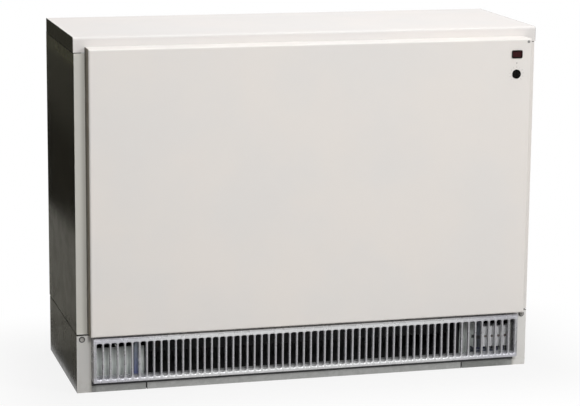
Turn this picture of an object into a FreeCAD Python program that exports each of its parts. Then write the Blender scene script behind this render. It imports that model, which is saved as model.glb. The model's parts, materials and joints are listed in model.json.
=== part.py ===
"""A free-standing night storage heater: a pale sheet-metal cabinet with dark sides, a stack of storage
bricks inside insulation boards, and a blower base behind a slotted outlet grille.

Frame: origin on the floor under the middle of the cabinet, +X to the right, +Y to the rear, +Z up.
"""

import FreeCAD, Part
import math
import os
import re

import Sketcher

Vector = FreeCAD.Vector

# Driving sizes in millimetres, apart from the counts and the angles in degrees.
sizes = {
    # cabinet
    "body_width": 890,
    "body_depth": 325,
    "total_height": 668,
    "base_height": 113,
    "skin": 1.2,
    "inner_sheet": 1.0,
    "edge_round": 2.0,
    "fit_gap": 0.05,
    "free_gap": 0.3,
    # lid
    "lid_height": 28,
    "lid_overhang": 1.5,
    "lid_setback": 14,
    "lid_round": 5,
    "lid_joint": 1.5,
    "cap_plate": 2.5,
    "cap_spigot": 6,
    # front panel
    "panel_proud": 40,
    "panel_inset": 20,
    "panel_lap": 10,
    "panel_gap": 2.5,
    "panel_round": 3.5,
    # corner stiles and side panels
    "stile_width": 34,
    "stile_flange": 15,
    "side_return": 14,
    # base
    "base_setback": 6,
    "deck_plate": 2,
    "deck_recess": 4,
    "floor_plate": 1.5,
    "post_width": 36,
    "bay_width": 131.5,
    "plinth_height": 24,
    "plinth_split": 1.5,
    "partition_land": 4,
    "partition_front": 12,
    "inlet_count": 24,
    "inlet_width": 6,
    "inlet_end": 44,
    "inlet_height": 46,
    "inlet_level": 30,
    # outlet grille
    "grille_inset": 27,
    "grille_proud": 28,
    "grille_gap": 4,
    "grille_face": 5,
    "grille_wall": 1.5,
    "grille_round": 1.5,
    "slot_count": 60,
    "slot_end": 10.9,
    "slot_width": 10.2,
    "slot_top": 9,
    "slot_level": 6.5,
    "slot_round": 3.2,
    "baffle_back": 16,
    "baffle_gap": 30.5,
    # insulation and storage core
    "front_insulation": 42,
    "rear_insulation": 46,
    "side_insulation": 45,
    "floor_insulation": 40,
    "top_insulation": 38,
    "wiring_width": 62,
    "turn_gap": 14,
    "brick_joint": 0.4,
    "channel_edge": 24,
    "channel_width": 18,
    "channel_land": 36,
    # heating elements
    "element_radius": 4.25,
    "element_pitch": 60,
    "element_reach": 14,
    "groove_gap": 0.6,
    "bend_room": 3,
    "stud_radius": 2.5,
    "stud_length": 16,
    "busbar_width": 14,
    "busbar_plate": 2,
    "limiter_depth": 60,
    "limiter_height": 36,
    "limiter_bulge": 20,
    "probe_radius": 3,
    "probe_length": 180,
    # blower
    "fan_back": 222,
    "fan_level": 56,
    "impeller_radius": 30,
    "impeller_end_gap": 40,
    "impeller_plate": 2,
    "blade_count": 24,
    "blade_chord": 9,
    "blade_plate": 0.9,
    "blade_lean": 2.5,
    "shaft_radius": 4,
    "bush_radius": 8,
    "bush_flange": 11,
    "bush_length": 6,
    "bush_rim": 1.5,
    "scroll_gap": 5,
    "cutoff_height": 45,
    "motor_side": 62,
    "motor_stack": 26,
    "motor_stand": 22,
    "motor_air_gap": 0.5,
    "rotor_radius": 14,
    "coil_side": 34,
    "coil_bulge": 12,
    "pillar_radius": 4,
    "pillar_inset": 8,
    "shaft_tail": 6,
    # mixing flap
    "flap_back": 62,
    "flap_drop": 11,
    "flap_height": 44,
    "flap_plate": 1.0,
    "flap_pin": 3,
    "flap_pin_tail": 4,
    "bimetal_width": 14,
    "bimetal_plate": 1,
    "bimetal_length": 46,
    "bimetal_inset": 24,
    # controls
    "control_inset": 30,
    "switch_drop": 29,
    "knob_drop": 67,
    "bezel_width": 21,
    "bezel_height": 15,
    "bezel_proud": 2,
    "bezel_round": 2.4,
    "switch_width": 19,
    "switch_height": 13,
    "switch_depth": 16,
    "rocker_length": 16.4,
    "rocker_height": 10.4,
    "rocker_rise": 3.2,
    "rocker_dip": 1.4,
    "rocker_belly": 4,
    "rocker_sink": 2.6,
    "rocker_tilt": 9,
    "rocker_room": 0.9,
    "rocker_pin": 1,
    "rocker_pin_tail": 0.9,
    "rocker_well": 8,
    "knob_radius": 8.4,
    "knob_proud": 1.6,
    "knob_depth": 9,
    "knob_gap": 0.5,
    "knob_slot": 2.4,
    "knob_slot_depth": 1.8,
    "knob_shaft": 3,
    "knob_chamfer": 0.8,
    "plug_inset": 7,
    "plug_drop": 5.6,
    "plug_cap": 2.6,
    "plug_proud": 0.8,
    "plug_stem": 1.6,
    "plug_length": 6,
    "thermostat_width": 30,
    "thermostat_depth": 26,
    "thermostat_height": 46,
    "spindle_seat": 8,
    # wiring and supply
    "loom_radius": 4,
    "loom_bend": 16,
    "loom_offset": 8,
    "loom_forward": 12,
    "loom_drop": 38,
    "loom_back": 30,
    "loom_hole": 7,
    "bracket_back": 40,
    "bracket_width": 118,
    "bracket_gap": 21.5,
    "bracket_tab": 36,
    "block_width": 54,
    "block_depth": 20,
    "block_height": 41,
    "block_level": 35,
    "block_inset": 23,
    "block_rise": 4,
    "block_screw": 3,
    "block_screw_sink": 2,
    "gland_inset": 65,
    "gland_level": 60,
    "gland_bore": 5.5,
    "gland_thread": 10,
    "gland_flange": 14,
    "gland_rim": 4,
    "gland_length": 20,
    # fixings
    "screw_radius": 2,
    "screw_hole": 2.2,
    "screw_head": 4,
    "screw_head_height": 2.4,
    "screw_length": 9,
    "screw_recess": 1.0,
    "post_screw_inset": 10,
    "post_screw_drop": 8,
    "stile_screw_inset": 26,
    "screw_end_gap": 60,
    "floor_hole": 4.5,
    "floor_hole_inset": 70,
    "floor_hole_edge": 60,
    "bracket_hole": 4,
    "bracket_spacing": 500,
    "wall_bracket_width": 60,
    "wall_bracket_height": 58,
    "wall_bracket_plate": 2,
    "wall_hole_rise": 12,
    "wall_bracket_top": 10,
}

# Counts that decide how many pieces are made.
brick_columns = 3
brick_pairs = 4
brick_layers = 2 * brick_pairs
block_poles = 4

# Places that follow from the sizes. Each is spelled out where an expression uses it.
places = {
    "left_x": "-body_width / 2",
    "right_x": "body_width / 2",
    "face_y": "(panel_proud - body_depth) / 2",
    "panel_y": "-(panel_proud + body_depth) / 2",
    "rear_y": "(panel_proud + body_depth) / 2",
    "lid_z": "total_height - lid_height",
    "lid_depth": "body_depth - lid_setback",
    "lid_length": "body_width + 2 * lid_overhang - 2 * cap_plate",
    "panel_z": "base_height + panel_gap",
    "panel_width": "body_width - 2 * panel_inset",
    "panel_height": "lid_z + panel_lap - panel_z",
    "deck_z": "base_height - deck_plate",
    "base_rear": "rear_y - base_setback",
    "back_y": "base_rear - inner_sheet",
    "bay_x": "body_width / 2 - bay_width",
    "partition_x": "bay_x - plinth_split / 2 - partition_land",
    "duct_half": "partition_x - inner_sheet",
    "inlet_pitch": "2 * (duct_half - inlet_end) / (inlet_count - 1)",
    "grille_width": "body_width - 2 * grille_inset",
    "grille_height": "base_height - grille_gap - plinth_height",
    "slot_pitch": "(grille_width - 2 * slot_end) / (slot_count - 1)",
    "slot_height": "grille_height - slot_level - slot_top",
    "inside_front": "face_y + skin + inner_sheet",
    "inside_rear": "rear_y - skin - inner_sheet",
    "core_left": "left_x + side_return + free_gap + side_insulation",
    "core_right": "right_x - skin - wiring_width - inner_sheet - side_insulation",
    "core_front": "inside_front + front_insulation",
    "core_back": "inside_rear - rear_insulation",
    "core_bottom": "base_height + floor_insulation",
    "top_board_z": "lid_z - inner_sheet - top_insulation",
    "core_top": "top_board_z - turn_gap",
    "core_mid_y": "(core_front + core_back) / 2",
    "brick_length": "(core_right - core_left) / %d" % brick_columns,
    "brick_height": "(core_top - core_bottom) / %d" % brick_layers,
    "groove": "element_radius + groove_gap",
    "wiring_x": "core_right + side_insulation + inner_sheet",
    "element_end": "wiring_x + element_reach",
    "fan_y": "face_y + fan_back",
    "impeller_length": "2 * (duct_half - impeller_end_gap)",
    "scroll": "impeller_radius + scroll_gap",
    "flap_y": "face_y + flap_back",
    "flap_z": "deck_z - flap_drop",
    "motor_x": "partition_x + motor_stand",
    "control_x": "right_x - panel_inset - control_inset",
    "switch_z": "lid_z + panel_lap - switch_drop",
    "knob_z": "lid_z + panel_lap - knob_drop",
    "rocker_y": "panel_y - bezel_proud + rocker_sink",
    "loom_x": "control_x + loom_offset",
    "loom_z": "knob_z - thermostat_height / 2 - loom_drop",
    "block_x": "bracket_x + bracket_width - block_inset - block_width",
    "bracket_x": "right_x - skin - bracket_width - deck_recess",
    "gland_x": "right_x - gland_inset",
}

doc = FreeCAD.newDocument("storage_heater")
sheet = doc.addObject("Spreadsheet::Sheet", "Sizes")
for row, (alias, number) in enumerate(sizes.items(), start=1):
    sheet.set("A%d" % row, str(number))
    sheet.setAlias("A%d" % row, alias)
doc.recompute()


def cells(text):
    """An expression on the sheet, from words that name sizes and places."""

    def spell(match):
        word = match.group(0)
        if word in places:
            return "(" + cells(places[word]) + ")"
        return "Sizes." + word if word in sizes else word

    return re.sub(r"[a-z][a-z0-9_]*", spell, text)


def bind(item, **expressions):
    """Bind properties of one object to expressions on the sheet."""
    for name, text in expressions.items():
        item.setExpression(name, cells(text))
    return item


def place(item, at):
    """Bind an object's position to three expressions."""
    for axis, text in zip("xyz", at):
        item.setExpression("Placement.Base." + axis, cells(text))
    return item


# Part primitives and booleans.


def block(name, size, at):
    """A box with its lowest corner at a place."""
    item = doc.addObject("Part::Box", name)
    bind(item, Length=size[0], Width=size[1], Height=size[2])
    return place(item, at)


turns = {
    "x": FreeCAD.Rotation(Vector(0, 1, 0), 90),
    "y": FreeCAD.Rotation(Vector(1, 0, 0), -90),
    "z": FreeCAD.Rotation(),
}


def rod(name, radius, length, at, along):
    """A round bar that starts at a place and runs along an axis."""
    item = doc.addObject("Part::Cylinder", name)
    bind(item, Radius=radius, Height=length)
    item.Placement = FreeCAD.Placement(Vector(), turns[along])
    return place(item, at)


def elbow(name, radius, bend, angle, at, start, onward):
    """A bend of a round bar about a place, from one direction out of it towards another."""
    item = doc.addObject("Part::Torus", name)
    bind(item, Radius1=bend, Radius2=radius)
    item.Angle3 = angle
    item.Placement = FreeCAD.Placement(Vector(), FreeCAD.Rotation(start, onward, start.cross(onward)))
    return place(item, at)


def join(name, *items):
    """Several shapes fused into one solid, or kept as one tool."""
    item = doc.addObject("Part::MultiFuse", name)
    item.Shapes = list(items)
    return item


def cut(name, base, *tools):
    """A shape less one or more tools."""
    item = doc.addObject("Part::Cut", name)
    item.Base = base
    item.Tool = tools[0] if len(tools) == 1 else join(name + "_tool", *tools)
    return item


def group(name, *items):
    """Separate solids kept together as one node."""
    item = doc.addObject("Part::Compound", name)
    item.Links = list(items)
    return item


# Part Design bodies, sketches and features.


def new_body(name, at):
    return place(doc.addObject("PartDesign::Body", name), at)


def sketch_on(body, role, shift=("0", "0", "0")):
    """A sketch on one of a body's own origin planes, moved along the plane's axes and its normal."""
    sketch = body.newObject("Sketcher::SketchObject", body.Name + "_sketch")
    plane = next(item for item in body.Origin.OriginFeatures if item.Role == role)
    sketch.AttachmentSupport = [(plane, "")]
    sketch.MapMode = "FlatFace"
    for axis, text in zip("xyz", shift):
        sketch.setExpression("AttachmentOffset.Base." + axis, cells(text))
    return sketch


def set_distance(sketch, kind, first, second, text):
    """A named distance between two points, as drawn at first and then bound to the sheet."""
    span = sketch.getPoint(*second) - sketch.getPoint(*first)
    drawn = span.x if kind == "DistanceX" else span.y
    index = sketch.addConstraint(Sketcher.Constraint(kind, *first, *second, drawn))
    name = "size%d" % index
    sketch.renameConstraint(index, name)
    sketch.setExpression("Constraints." + name, cells(text))


root_point = (-1, 1)


def set_point(sketch, point, x, y):
    """Fix one point of a sketch at two expressions; a plain zero puts it on the sketch's own axis."""
    level_axis, upright_axis = -1, -2
    for kind, text, zero_axis in (("DistanceX", x, upright_axis), ("DistanceY", y, level_axis)):
        if text == "0":
            sketch.addConstraint(Sketcher.Constraint("PointOnObject", *point, zero_axis))
        else:
            set_distance(sketch, kind, root_point, point, text)


def outline(sketch, points):
    """A closed outline of straight lines through points given as expressions."""
    count = len(points)
    turn = FreeCAD.Rotation(Vector(0, 0, 1), 360.0 / count)
    corners = [Vector(10, 3, 0)]
    while len(corners) < count:
        corners.append(turn.multVec(corners[-1]))
    first = sketch.GeometryCount
    for index in range(count):
        sketch.addGeometry(Part.LineSegment(corners[index], corners[(index + 1) % count]))
    for index, (x, y) in enumerate(points):
        following = first + (index + 1) % count
        sketch.addConstraint(Sketcher.Constraint("Coincident", first + index, 2, following, 1))
        set_point(sketch, (first + index, 1), x, y)
    return sketch


def rectangle(sketch, wide, tall):
    """A rectangle with its lower left corner on the sketch's origin."""
    return outline(sketch, [("0", "0"), (wide, "0"), (wide, tall), ("0", tall)])


def circle(sketch, radius, x="0", y="0"):
    index = sketch.addGeometry(Part.Circle(Vector(1, 1, 0), Vector(0, 0, 1), 5))
    set_point(sketch, (index, 3), x, y)
    mark = sketch.addConstraint(Sketcher.Constraint("Radius", index, 5.0))
    sketch.renameConstraint(mark, "radius%d" % mark)
    sketch.setExpression("Constraints.radius%d" % mark, cells(radius))
    return sketch


def obround(sketch, wide, tall):
    """An upright slot with round ends, standing on the sketch's origin and centred on it sideways."""
    half = 4.0
    top, bottom = Vector(0, 40, 0), Vector(0, 4, 0)
    normal = Vector(0, 0, 1)
    upper = sketch.addGeometry(Part.ArcOfCircle(Part.Circle(top, normal, half), 0, math.pi))
    lower = sketch.addGeometry(Part.ArcOfCircle(Part.Circle(bottom, normal, half), math.pi, 2 * math.pi))
    left = sketch.addGeometry(Part.LineSegment(Vector(-half, 40, 0), Vector(-half, 4, 0)))
    right = sketch.addGeometry(Part.LineSegment(Vector(half, 4, 0), Vector(half, 40, 0)))
    round_trip = (upper, left, lower, right)
    for index, piece in enumerate(round_trip):
        following = round_trip[(index + 1) % len(round_trip)]
        sketch.addConstraint(Sketcher.Constraint("Tangent", piece, 2, following, 1))
    sketch.addConstraint(Sketcher.Constraint("Vertical", left))
    set_point(sketch, (lower, 3), "0", wide + " / 2")
    set_distance(sketch, "DistanceY", (lower, 3), (upper, 3), "%s - %s" % (tall, wide))
    mark = sketch.addConstraint(Sketcher.Constraint("Radius", lower, half))
    sketch.renameConstraint(mark, "radius%d" % mark)
    sketch.setExpression("Constraints.radius%d" % mark, cells(wide + " / 2"))
    return sketch


def soft_rectangle(sketch, wide, tall, radius):
    """An upright rectangle with rounded corners, standing on the sketch's origin and centred on it sideways."""
    half, height, bend = 8.0, 40.0, 3.0
    right, top = half - bend, height - bend
    centres = (Vector(right, top, 0), Vector(-right, top, 0), Vector(-right, bend, 0), Vector(right, bend, 0))
    corners = []
    for turn, centre in enumerate(centres):
        rounding = Part.Circle(centre, Vector(0, 0, 1), bend)
        arc = Part.ArcOfCircle(rounding, turn * math.pi / 2, (turn + 1) * math.pi / 2)
        corners.append(sketch.addGeometry(arc))
    for turn, corner in enumerate(corners):
        following = corners[(turn + 1) % len(corners)]
        ends = (sketch.getPoint(corner, 2), sketch.getPoint(following, 1))
        side = sketch.addGeometry(Part.LineSegment(*ends))
        sketch.addConstraint(Sketcher.Constraint("Tangent", corner, 2, side, 1))
        sketch.addConstraint(Sketcher.Constraint("Tangent", side, 2, following, 1))
        sketch.addConstraint(Sketcher.Constraint("Vertical" if turn % 2 else "Horizontal", side))
    for corner in corners[1:]:
        sketch.addConstraint(Sketcher.Constraint("Equal", corners[0], corner))
    mark = sketch.addConstraint(Sketcher.Constraint("Radius", corners[0], bend))
    sketch.renameConstraint(mark, "radius%d" % mark)
    sketch.setExpression("Constraints.radius%d" % mark, cells(radius))
    set_point(sketch, (corners[2], 3), "%s - %s / 2" % (radius, wide), radius)
    set_distance(sketch, "DistanceX", (corners[2], 3), (corners[3], 3), "%s - 2 * %s" % (wide, radius))
    set_distance(sketch, "DistanceY", (corners[2], 3), (corners[1], 3), "%s - 2 * %s" % (tall, radius))
    return sketch


def pad(body, sketch, length, backwards=False):
    feature = body.newObject("PartDesign::Pad", body.Name + "_pad")
    feature.Profile = sketch
    feature.Reversed = backwards
    return bind(feature, Length=length)


def pocket(body, sketch, length, backwards=False):
    """A pocket that has to take something away."""
    doc.recompute()
    before = body.Shape.Volume
    feature = body.newObject("PartDesign::Pocket", body.Name + "_pocket")
    feature.Profile = sketch
    feature.Reversed = backwards
    bind(feature, Length=length)
    doc.recompute()
    if body.Shape.Volume >= before - 1e-6:
        raise RuntimeError("a pocket of %s cuts nothing" % body.Name)
    return feature


def row_of(body, feature, sketch, count, pitch):
    """A feature repeated along its sketch's level axis."""
    pattern = body.newObject("PartDesign::LinearPattern", body.Name + "_row")
    pattern.Originals = [feature]
    pattern.Direction = (sketch, ["H_Axis"])
    bind(pattern, Length="(%s - 1) * %s" % (count, pitch), Occurrences=count)
    body.Tip = pattern
    return pattern


def ring_of(body, feature, count):
    """A feature repeated round the body's own X axis."""
    pattern = body.newObject("PartDesign::PolarPattern", body.Name + "_ring")
    pattern.Originals = [feature]
    axis = next(item for item in body.Origin.OriginFeatures if item.Role == "X_Axis")
    pattern.Axis = (axis, [""])
    pattern.Angle = 360
    bind(pattern, Occurrences=count)
    body.Tip = pattern
    return pattern


near = 1e-4


def touches(shape, **levels):
    """Whether an edge or face lies wholly at the given limits of the box around its body."""
    box = shape.BoundBox
    limits = {
        "XMin": box.XMax,
        "YMin": box.YMax,
        "ZMin": box.ZMax,
        "XMax": box.XMin,
        "YMax": box.YMin,
        "ZMax": box.ZMin,
    }
    return all(abs(limits[side] - value) < near for side, value in levels.items())


def at_limit(whole, side):
    return {side: getattr(whole.BoundBox, side)}


def round_edges(body, radius, *sides):
    """Round every edge that lies in all of the named sides of the body's box."""
    doc.recompute()
    base = body.Tip
    levels = {}
    for side in sides:
        levels.update(at_limit(base.Shape, side))
    names = ["Edge%d" % n for n, edge in enumerate(base.Shape.Edges, 1) if touches(edge, **levels)]
    feature = body.newObject("PartDesign::Fillet", body.Name + "_round")
    feature.Base = (base, names)
    return bind(feature, Radius=radius)


def hollow(body, wall, *open_sides):
    """Leave a wall of one thickness, open on the named sides of the body's box."""
    doc.recompute()
    base = body.Tip
    whole = base.Shape
    names = [
        "Face%d" % n
        for n, face in enumerate(whole.Faces, 1)
        if any(touches(face, **at_limit(whole, side)) for side in open_sides)
    ]
    feature = body.newObject("PartDesign::Thickness", body.Name + "_wall")
    feature.Base = (base, names)
    feature.Reversed = True
    feature.Mode = "Skin"
    feature.Join = "Arc"
    return bind(feature, Value=wall)


parts = []


def keep(item, label):
    """Name a finished sub-part and add it to the ones that are written."""
    item.Label = label
    parts.append(item)
    return item


sides = ("left", "right")


def beside(side, offset, width):
    """The low X of something of a width that lies an offset inside the left or right outer face."""
    if side == "left":
        return "left_x + %s" % offset
    return "right_x - (%s) - (%s)" % (offset, width)


# Lid


def make_lid():
    lid = new_body("lid", ("-lid_length / 2", "face_y", "lid_z"))
    pad(lid, rectangle(sketch_on(lid, "YZ_Plane"), "lid_depth", "lid_height"), "lid_length")
    round_edges(lid, "lid_round", "YMin", "ZMax")
    round_edges(lid, "edge_round", "YMax", "ZMax")
    hollow(lid, "skin", "XMin", "XMax", "ZMin")
    keep(lid, "top_cover")


def make_lid_cap(side):
    """An end plate with the lid's outline and a spigot that plugs into the lid's open end."""
    name = "cap_" + side
    start = "-lid_length / 2 - cap_plate" if side == "left" else "lid_length / 2"
    cap = new_body(name, (start, "face_y", "lid_z"))
    pad(cap, rectangle(sketch_on(cap, "YZ_Plane"), "lid_depth", "lid_height"), "cap_plate")
    round_edges(cap, "lid_round", "YMin", "ZMax")
    round_edges(cap, "edge_round", "YMax", "ZMax")
    inner = "cap_plate" if side == "left" else "0"
    rim = "skin + free_gap"
    plug = sketch_on(cap, "YZ_Plane", (rim, "lid_height / 2", inner))
    rectangle(plug, "lid_depth - 2 * (%s)" % rim, "lid_height / 2 - (%s) - lid_round" % rim)
    pad(cap, plug, "cap_spigot", backwards=side == "right")
    keep(cap, "lid_end_cap_" + side)


# Front panel


def make_front_panel():
    panel = new_body("panel", ("-panel_width / 2", "panel_y", "panel_z"))
    face = rectangle(sketch_on(panel, "XZ_Plane"), "panel_width", "panel_height")
    pad(panel, face, "panel_proud", backwards=True)
    round_edges(panel, "panel_round", "YMin")
    hollow(panel, "skin", "YMax")
    window = sketch_on(
        panel,
        "XZ_Plane",
        (
            "panel_width - control_inset - switch_width / 2 - fit_gap",
            "panel_height - switch_drop - switch_height / 2 - fit_gap",
            "0",
        ),
    )
    rectangle(window, "switch_width + 2 * fit_gap", "switch_height + 2 * fit_gap")
    pocket(panel, window, "2 * skin")
    hole = sketch_on(panel, "XZ_Plane", ("panel_width - control_inset", "panel_height - knob_drop", "0"))
    pocket(panel, circle(hole, "knob_radius + knob_gap"), "2 * skin")
    seat = sketch_on(panel, "XZ_Plane", ("panel_width - plug_inset", "panel_height - plug_drop", "0"))
    pocket(panel, circle(seat, "plug_stem + fit_gap"), "2 * skin")
    keep(panel, "front_panel")


def make_panel_plug():
    """A small dark plug pushed into the panel's top right corner."""
    plug = new_body("plug", ("panel_width / 2 - plug_inset", "panel_y", "panel_z + panel_height - plug_drop"))
    pad(plug, circle(sketch_on(plug, "XZ_Plane"), "plug_cap"), "plug_proud")
    round_edges(plug, "plug_proud / 2", "YMin")
    pad(plug, circle(sketch_on(plug, "XZ_Plane"), "plug_stem"), "plug_length", backwards=True)
    keep(plug, "panel_plug")


# Corner stiles and side panels


def screw_hole(name, x, z, y="face_y"):
    """A clearance hole through the front sheets at one screw."""
    return rod(name, "screw_hole", "6 * skin", (x, y + " - 2 * skin", z), "y")


def stile_screw_x(side):
    return beside(side, "stile_screw_inset", "0")


stile_screw_levels = ("base_height + screw_end_gap", "lid_z - screw_end_gap")


def make_stile(side):
    """A face strip beside the front panel with a locating flange that stands inside the panel."""
    name = "stile_" + side
    top = "lid_z - lid_joint"
    strip = block(
        name,
        ("stile_width", "skin", top + " - base_height"),
        (beside(side, "0", "stile_width"), "face_y", "base_height"),
    )
    flange_z = "panel_z + skin + free_gap"
    flange = block(
        name + "_flange",
        ("skin", "stile_flange", "%s - (%s)" % (top, flange_z)),
        (beside(side, "stile_width - skin", "skin"), "face_y - stile_flange", flange_z),
    )
    holes = [
        screw_hole("%s_hole_%d" % (name, n), stile_screw_x(side), z) for n, z in enumerate(stile_screw_levels)
    ]
    keep(cut(name + "_cut", join(name + "_fold", strip, flange), *holes), "front_stile_" + side)


def rear_screw_x(side):
    return beside(side, "side_return / 2", "0")


rear_screw_levels = (
    "base_height + screw_end_gap",
    "(base_height + lid_z) / 2",
    "lid_z - screw_end_gap",
)


def rear_holes(name, side):
    """Clearance holes through the rear sheets at one side's screws."""
    depth = "6 * skin"
    return [
        rod("%s_%d" % (name, n), "screw_hole", depth, (rear_screw_x(side), "rear_y - 4 * skin", z), "y")
        for n, z in enumerate(rear_screw_levels)
    ]


def make_side_panel(side):
    """A tray of sheet steel with its outer face flush with the cabinet's side."""
    name = "side_" + side
    panel = new_body(name, (beside(side, "0", "side_return"), "face_y + skin", "base_height"))
    face = rectangle(sketch_on(panel, "YZ_Plane"), "body_depth - skin", "lid_z - base_height")
    pad(panel, face, "side_return")
    outer, inner = ("XMin", "XMax") if side == "left" else ("XMax", "XMin")
    round_edges(panel, "edge_round", outer, "YMax")
    hollow(panel, "skin", inner)
    keep(cut(name + "_cut", panel, *rear_holes(name + "_hole", side)), "side_panel_" + side)


# Rear panel and wall brackets


def make_rear_panel():
    """A flat sheet on the inner faces of the side panels' rear returns, clear of their rounded corners."""
    inset = "skin + edge_round"
    plate = block(
        "rear_plate",
        ("body_width - 2 * (%s)" % inset, "inner_sheet", "lid_z - base_height - 2 * (%s)" % inset),
        ("left_x + " + inset, "inside_rear", "base_height + " + inset),
    )
    holes = [hole for side in sides for hole in rear_holes("rear_hole_" + side, side)]
    keep(cut("rear_cut", plate, *holes), "rear_panel")


def make_wall_brackets():
    """Two straps on the rear panel that rise behind the lid and take a wall screw each."""
    straps = []
    for side, middle in (("left", "-bracket_spacing / 2"), ("right", "bracket_spacing / 2")):
        hole_z = "lid_z + wall_hole_rise"
        low = "%s + wall_bracket_top - wall_bracket_height" % hole_z
        strap = block(
            "strap_" + side,
            ("wall_bracket_width", "wall_bracket_plate", "wall_bracket_height"),
            ("%s - wall_bracket_width / 2" % middle, "rear_y - skin", low),
        )
        start = (middle, "rear_y - 2 * skin", hole_z)
        hole = rod("strap_hole_" + side, "bracket_hole", "3 * wall_bracket_plate", start, "y")
        straps.append(cut("strap_cut_" + side, strap, hole))
    keep(group("straps", *straps), "wall_brackets")


# Base


def post_screw_x(side):
    return beside(side, "post_screw_inset", "0")


post_screw_z = "deck_z - post_screw_drop"


def make_base_post(side):
    name = "post_" + side
    strip = block(name, ("post_width", "skin", "deck_z"), (beside(side, "0", "post_width"), "face_y", "0"))
    hole = screw_hole(name + "_hole", post_screw_x(side), post_screw_z)
    keep(cut(name + "_cut", strip, hole), "base_post_" + side)


def make_base_side(side):
    name = "base_tray_" + side
    tray = new_body(name, (beside(side, "0", "side_return"), "face_y + skin", "0"))
    pad(tray, rectangle(sketch_on(tray, "YZ_Plane"), "base_rear - face_y - skin", "deck_z"), "side_return")
    hollow(tray, "skin", "XMax" if side == "left" else "XMin")
    hole = screw_hole(name + "_hole", post_screw_x(side), post_screw_z)
    keep(cut(name + "_cut", tray, hole), "base_side_" + side)


def floor_hole_x(side):
    return beside(side, "floor_hole_inset", "0")


floor_hole_rows = ("face_y + floor_hole_edge", "base_rear - floor_hole_edge")


def make_base_floor(name, start, length, plinth_start, plinth_length, holes):
    """A floor plate whose front edge turns up as a stretch of the plinth."""
    depth = "base_rear - face_y - floor_plate"
    plate = block(name, (length, depth, "floor_plate"), (start, "face_y + floor_plate", "0"))
    upstand = (plinth_length, "floor_plate", "plinth_height")
    plinth = block(name + "_plinth", upstand, (plinth_start, "face_y", "0"))
    folded = join(name + "_fold", plate, plinth)
    keep(cut(name + "_cut", folded, *holes) if holes else folded, "base_" + name)


def make_base_floors():
    inner = "side_return + free_gap"
    for side in sides:
        name = "floor_" + side
        holes = [
            rod(
                "%s_hole_%d" % (name, n),
                "floor_hole",
                "4 * floor_plate",
                (floor_hole_x(side), y, "-floor_plate"),
                "z",
            )
            for n, y in enumerate(floor_hole_rows)
        ]
        bay = "bay_width - plinth_split / 2"
        length, plinth = "%s - (%s)" % (bay, inner), "%s - post_width" % bay
        make_base_floor(
            name, beside(side, inner, length), length, beside(side, "post_width", plinth), plinth, holes
        )
    length = "2 * bay_x - plinth_split"
    make_base_floor("floor_centre", "-(%s) / 2" % length, length, "-(%s) / 2" % length, length, [])


def make_partition(side):
    """A wall between the blower duct and an end bay, with seats for the fan bush and the flap pin."""
    name = "partition_" + side
    x = "-partition_x" if side == "left" else "duct_half"
    start = "face_y + partition_front"
    size = ("inner_sheet", "back_y - (%s)" % start, "deck_z - floor_plate")
    wall = block(name, size, (x, start, "floor_plate"))
    reach = "4 * inner_sheet"
    low = x + " - inner_sheet"
    seats = [
        rod(name + "_bush", "bush_radius + fit_gap", reach, (low, "fan_y", "fan_level"), "x"),
        rod(name + "_pin", "flap_pin + fit_gap", reach, (low, "flap_y", "flap_z"), "x"),
    ]
    keep(cut(name + "_cut", wall, *seats), "base_partition_" + side)


def make_base_back():
    """The base's rear wall, with a row of air inlets behind the blower and the hole for the cable gland."""
    length = "body_width - 2 * side_return - 2 * free_gap"
    wall = new_body("back", ("-(%s) / 2" % length, "back_y", "floor_plate"))
    face = rectangle(sketch_on(wall, "XZ_Plane"), length, "deck_z - floor_plate")
    pad(wall, face, "inner_sheet", backwards=True)
    first = ("(%s) / 2 - duct_half + inlet_end" % length, "inlet_level - floor_plate", "0")
    inlet = obround(sketch_on(wall, "XZ_Plane", first), "inlet_width", "inlet_height")
    row_of(wall, pocket(wall, inlet, "2 * inner_sheet"), inlet, "inlet_count", "inlet_pitch")
    seat = sketch_on(wall, "XZ_Plane", ("gland_x + (%s) / 2" % length, "gland_level - floor_plate", "0"))
    pocket(wall, circle(seat, "gland_thread + fit_gap"), "2 * inner_sheet")
    keep(wall, "base_back")


def make_air_channels():
    """The upright air ways through the deck, the bottom board and the bricks."""
    ways = []
    for column in range(brick_columns):
        x = "core_left + %d * brick_length + channel_land" % column
        for row, y in enumerate(("core_front + channel_edge", "core_back - channel_edge - channel_width")):
            size = ("brick_length - 2 * channel_land", "channel_width", "core_top - deck_z + 2 * deck_plate")
            ways.append(block("air_way_%d_%d" % (column, row), size, (x, y, "deck_z - deck_plate")))
    return join("air_ways", *ways)


def make_deck(air_ways):
    size = ("body_width - 2 * deck_recess", "base_rear - face_y - deck_recess", "deck_plate")
    plate = block("deck", size, ("left_x + deck_recess", "face_y + deck_recess", "deck_z"))
    way = ("loom_x", "face_y + loom_back", "deck_z - deck_plate")
    hole = rod("deck_loom_hole", "loom_hole", "4 * deck_plate", way, "z")
    keep(cut("deck_cut", plate, air_ways, hole), "base_deck")


# Outlet grille


def make_grille():
    """A box-section front with a row of upright slots that stand on the ledge along its foot."""
    grille = new_body("grille", ("-grille_width / 2", "face_y - grille_proud", "plinth_height"))
    face = rectangle(sketch_on(grille, "XZ_Plane"), "grille_width", "grille_height")
    pad(grille, face, "grille_proud", backwards=True)
    round_edges(grille, "grille_round", "YMin")
    inside = sketch_on(grille, "XZ_Plane", ("grille_wall", "slot_level", "-grille_face"))
    rectangle(inside, "grille_width - 2 * grille_wall", "grille_height - grille_wall - slot_level")
    pocket(grille, inside, "grille_proud")
    slot = sketch_on(grille, "XZ_Plane", ("slot_end", "slot_level", "0"))
    soft_rectangle(slot, "slot_width", "slot_height", "slot_round")
    row_of(grille, pocket(grille, slot, "2 * grille_face"), slot, "slot_count", "slot_pitch")
    keep(grille, "outlet_grille")


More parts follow.
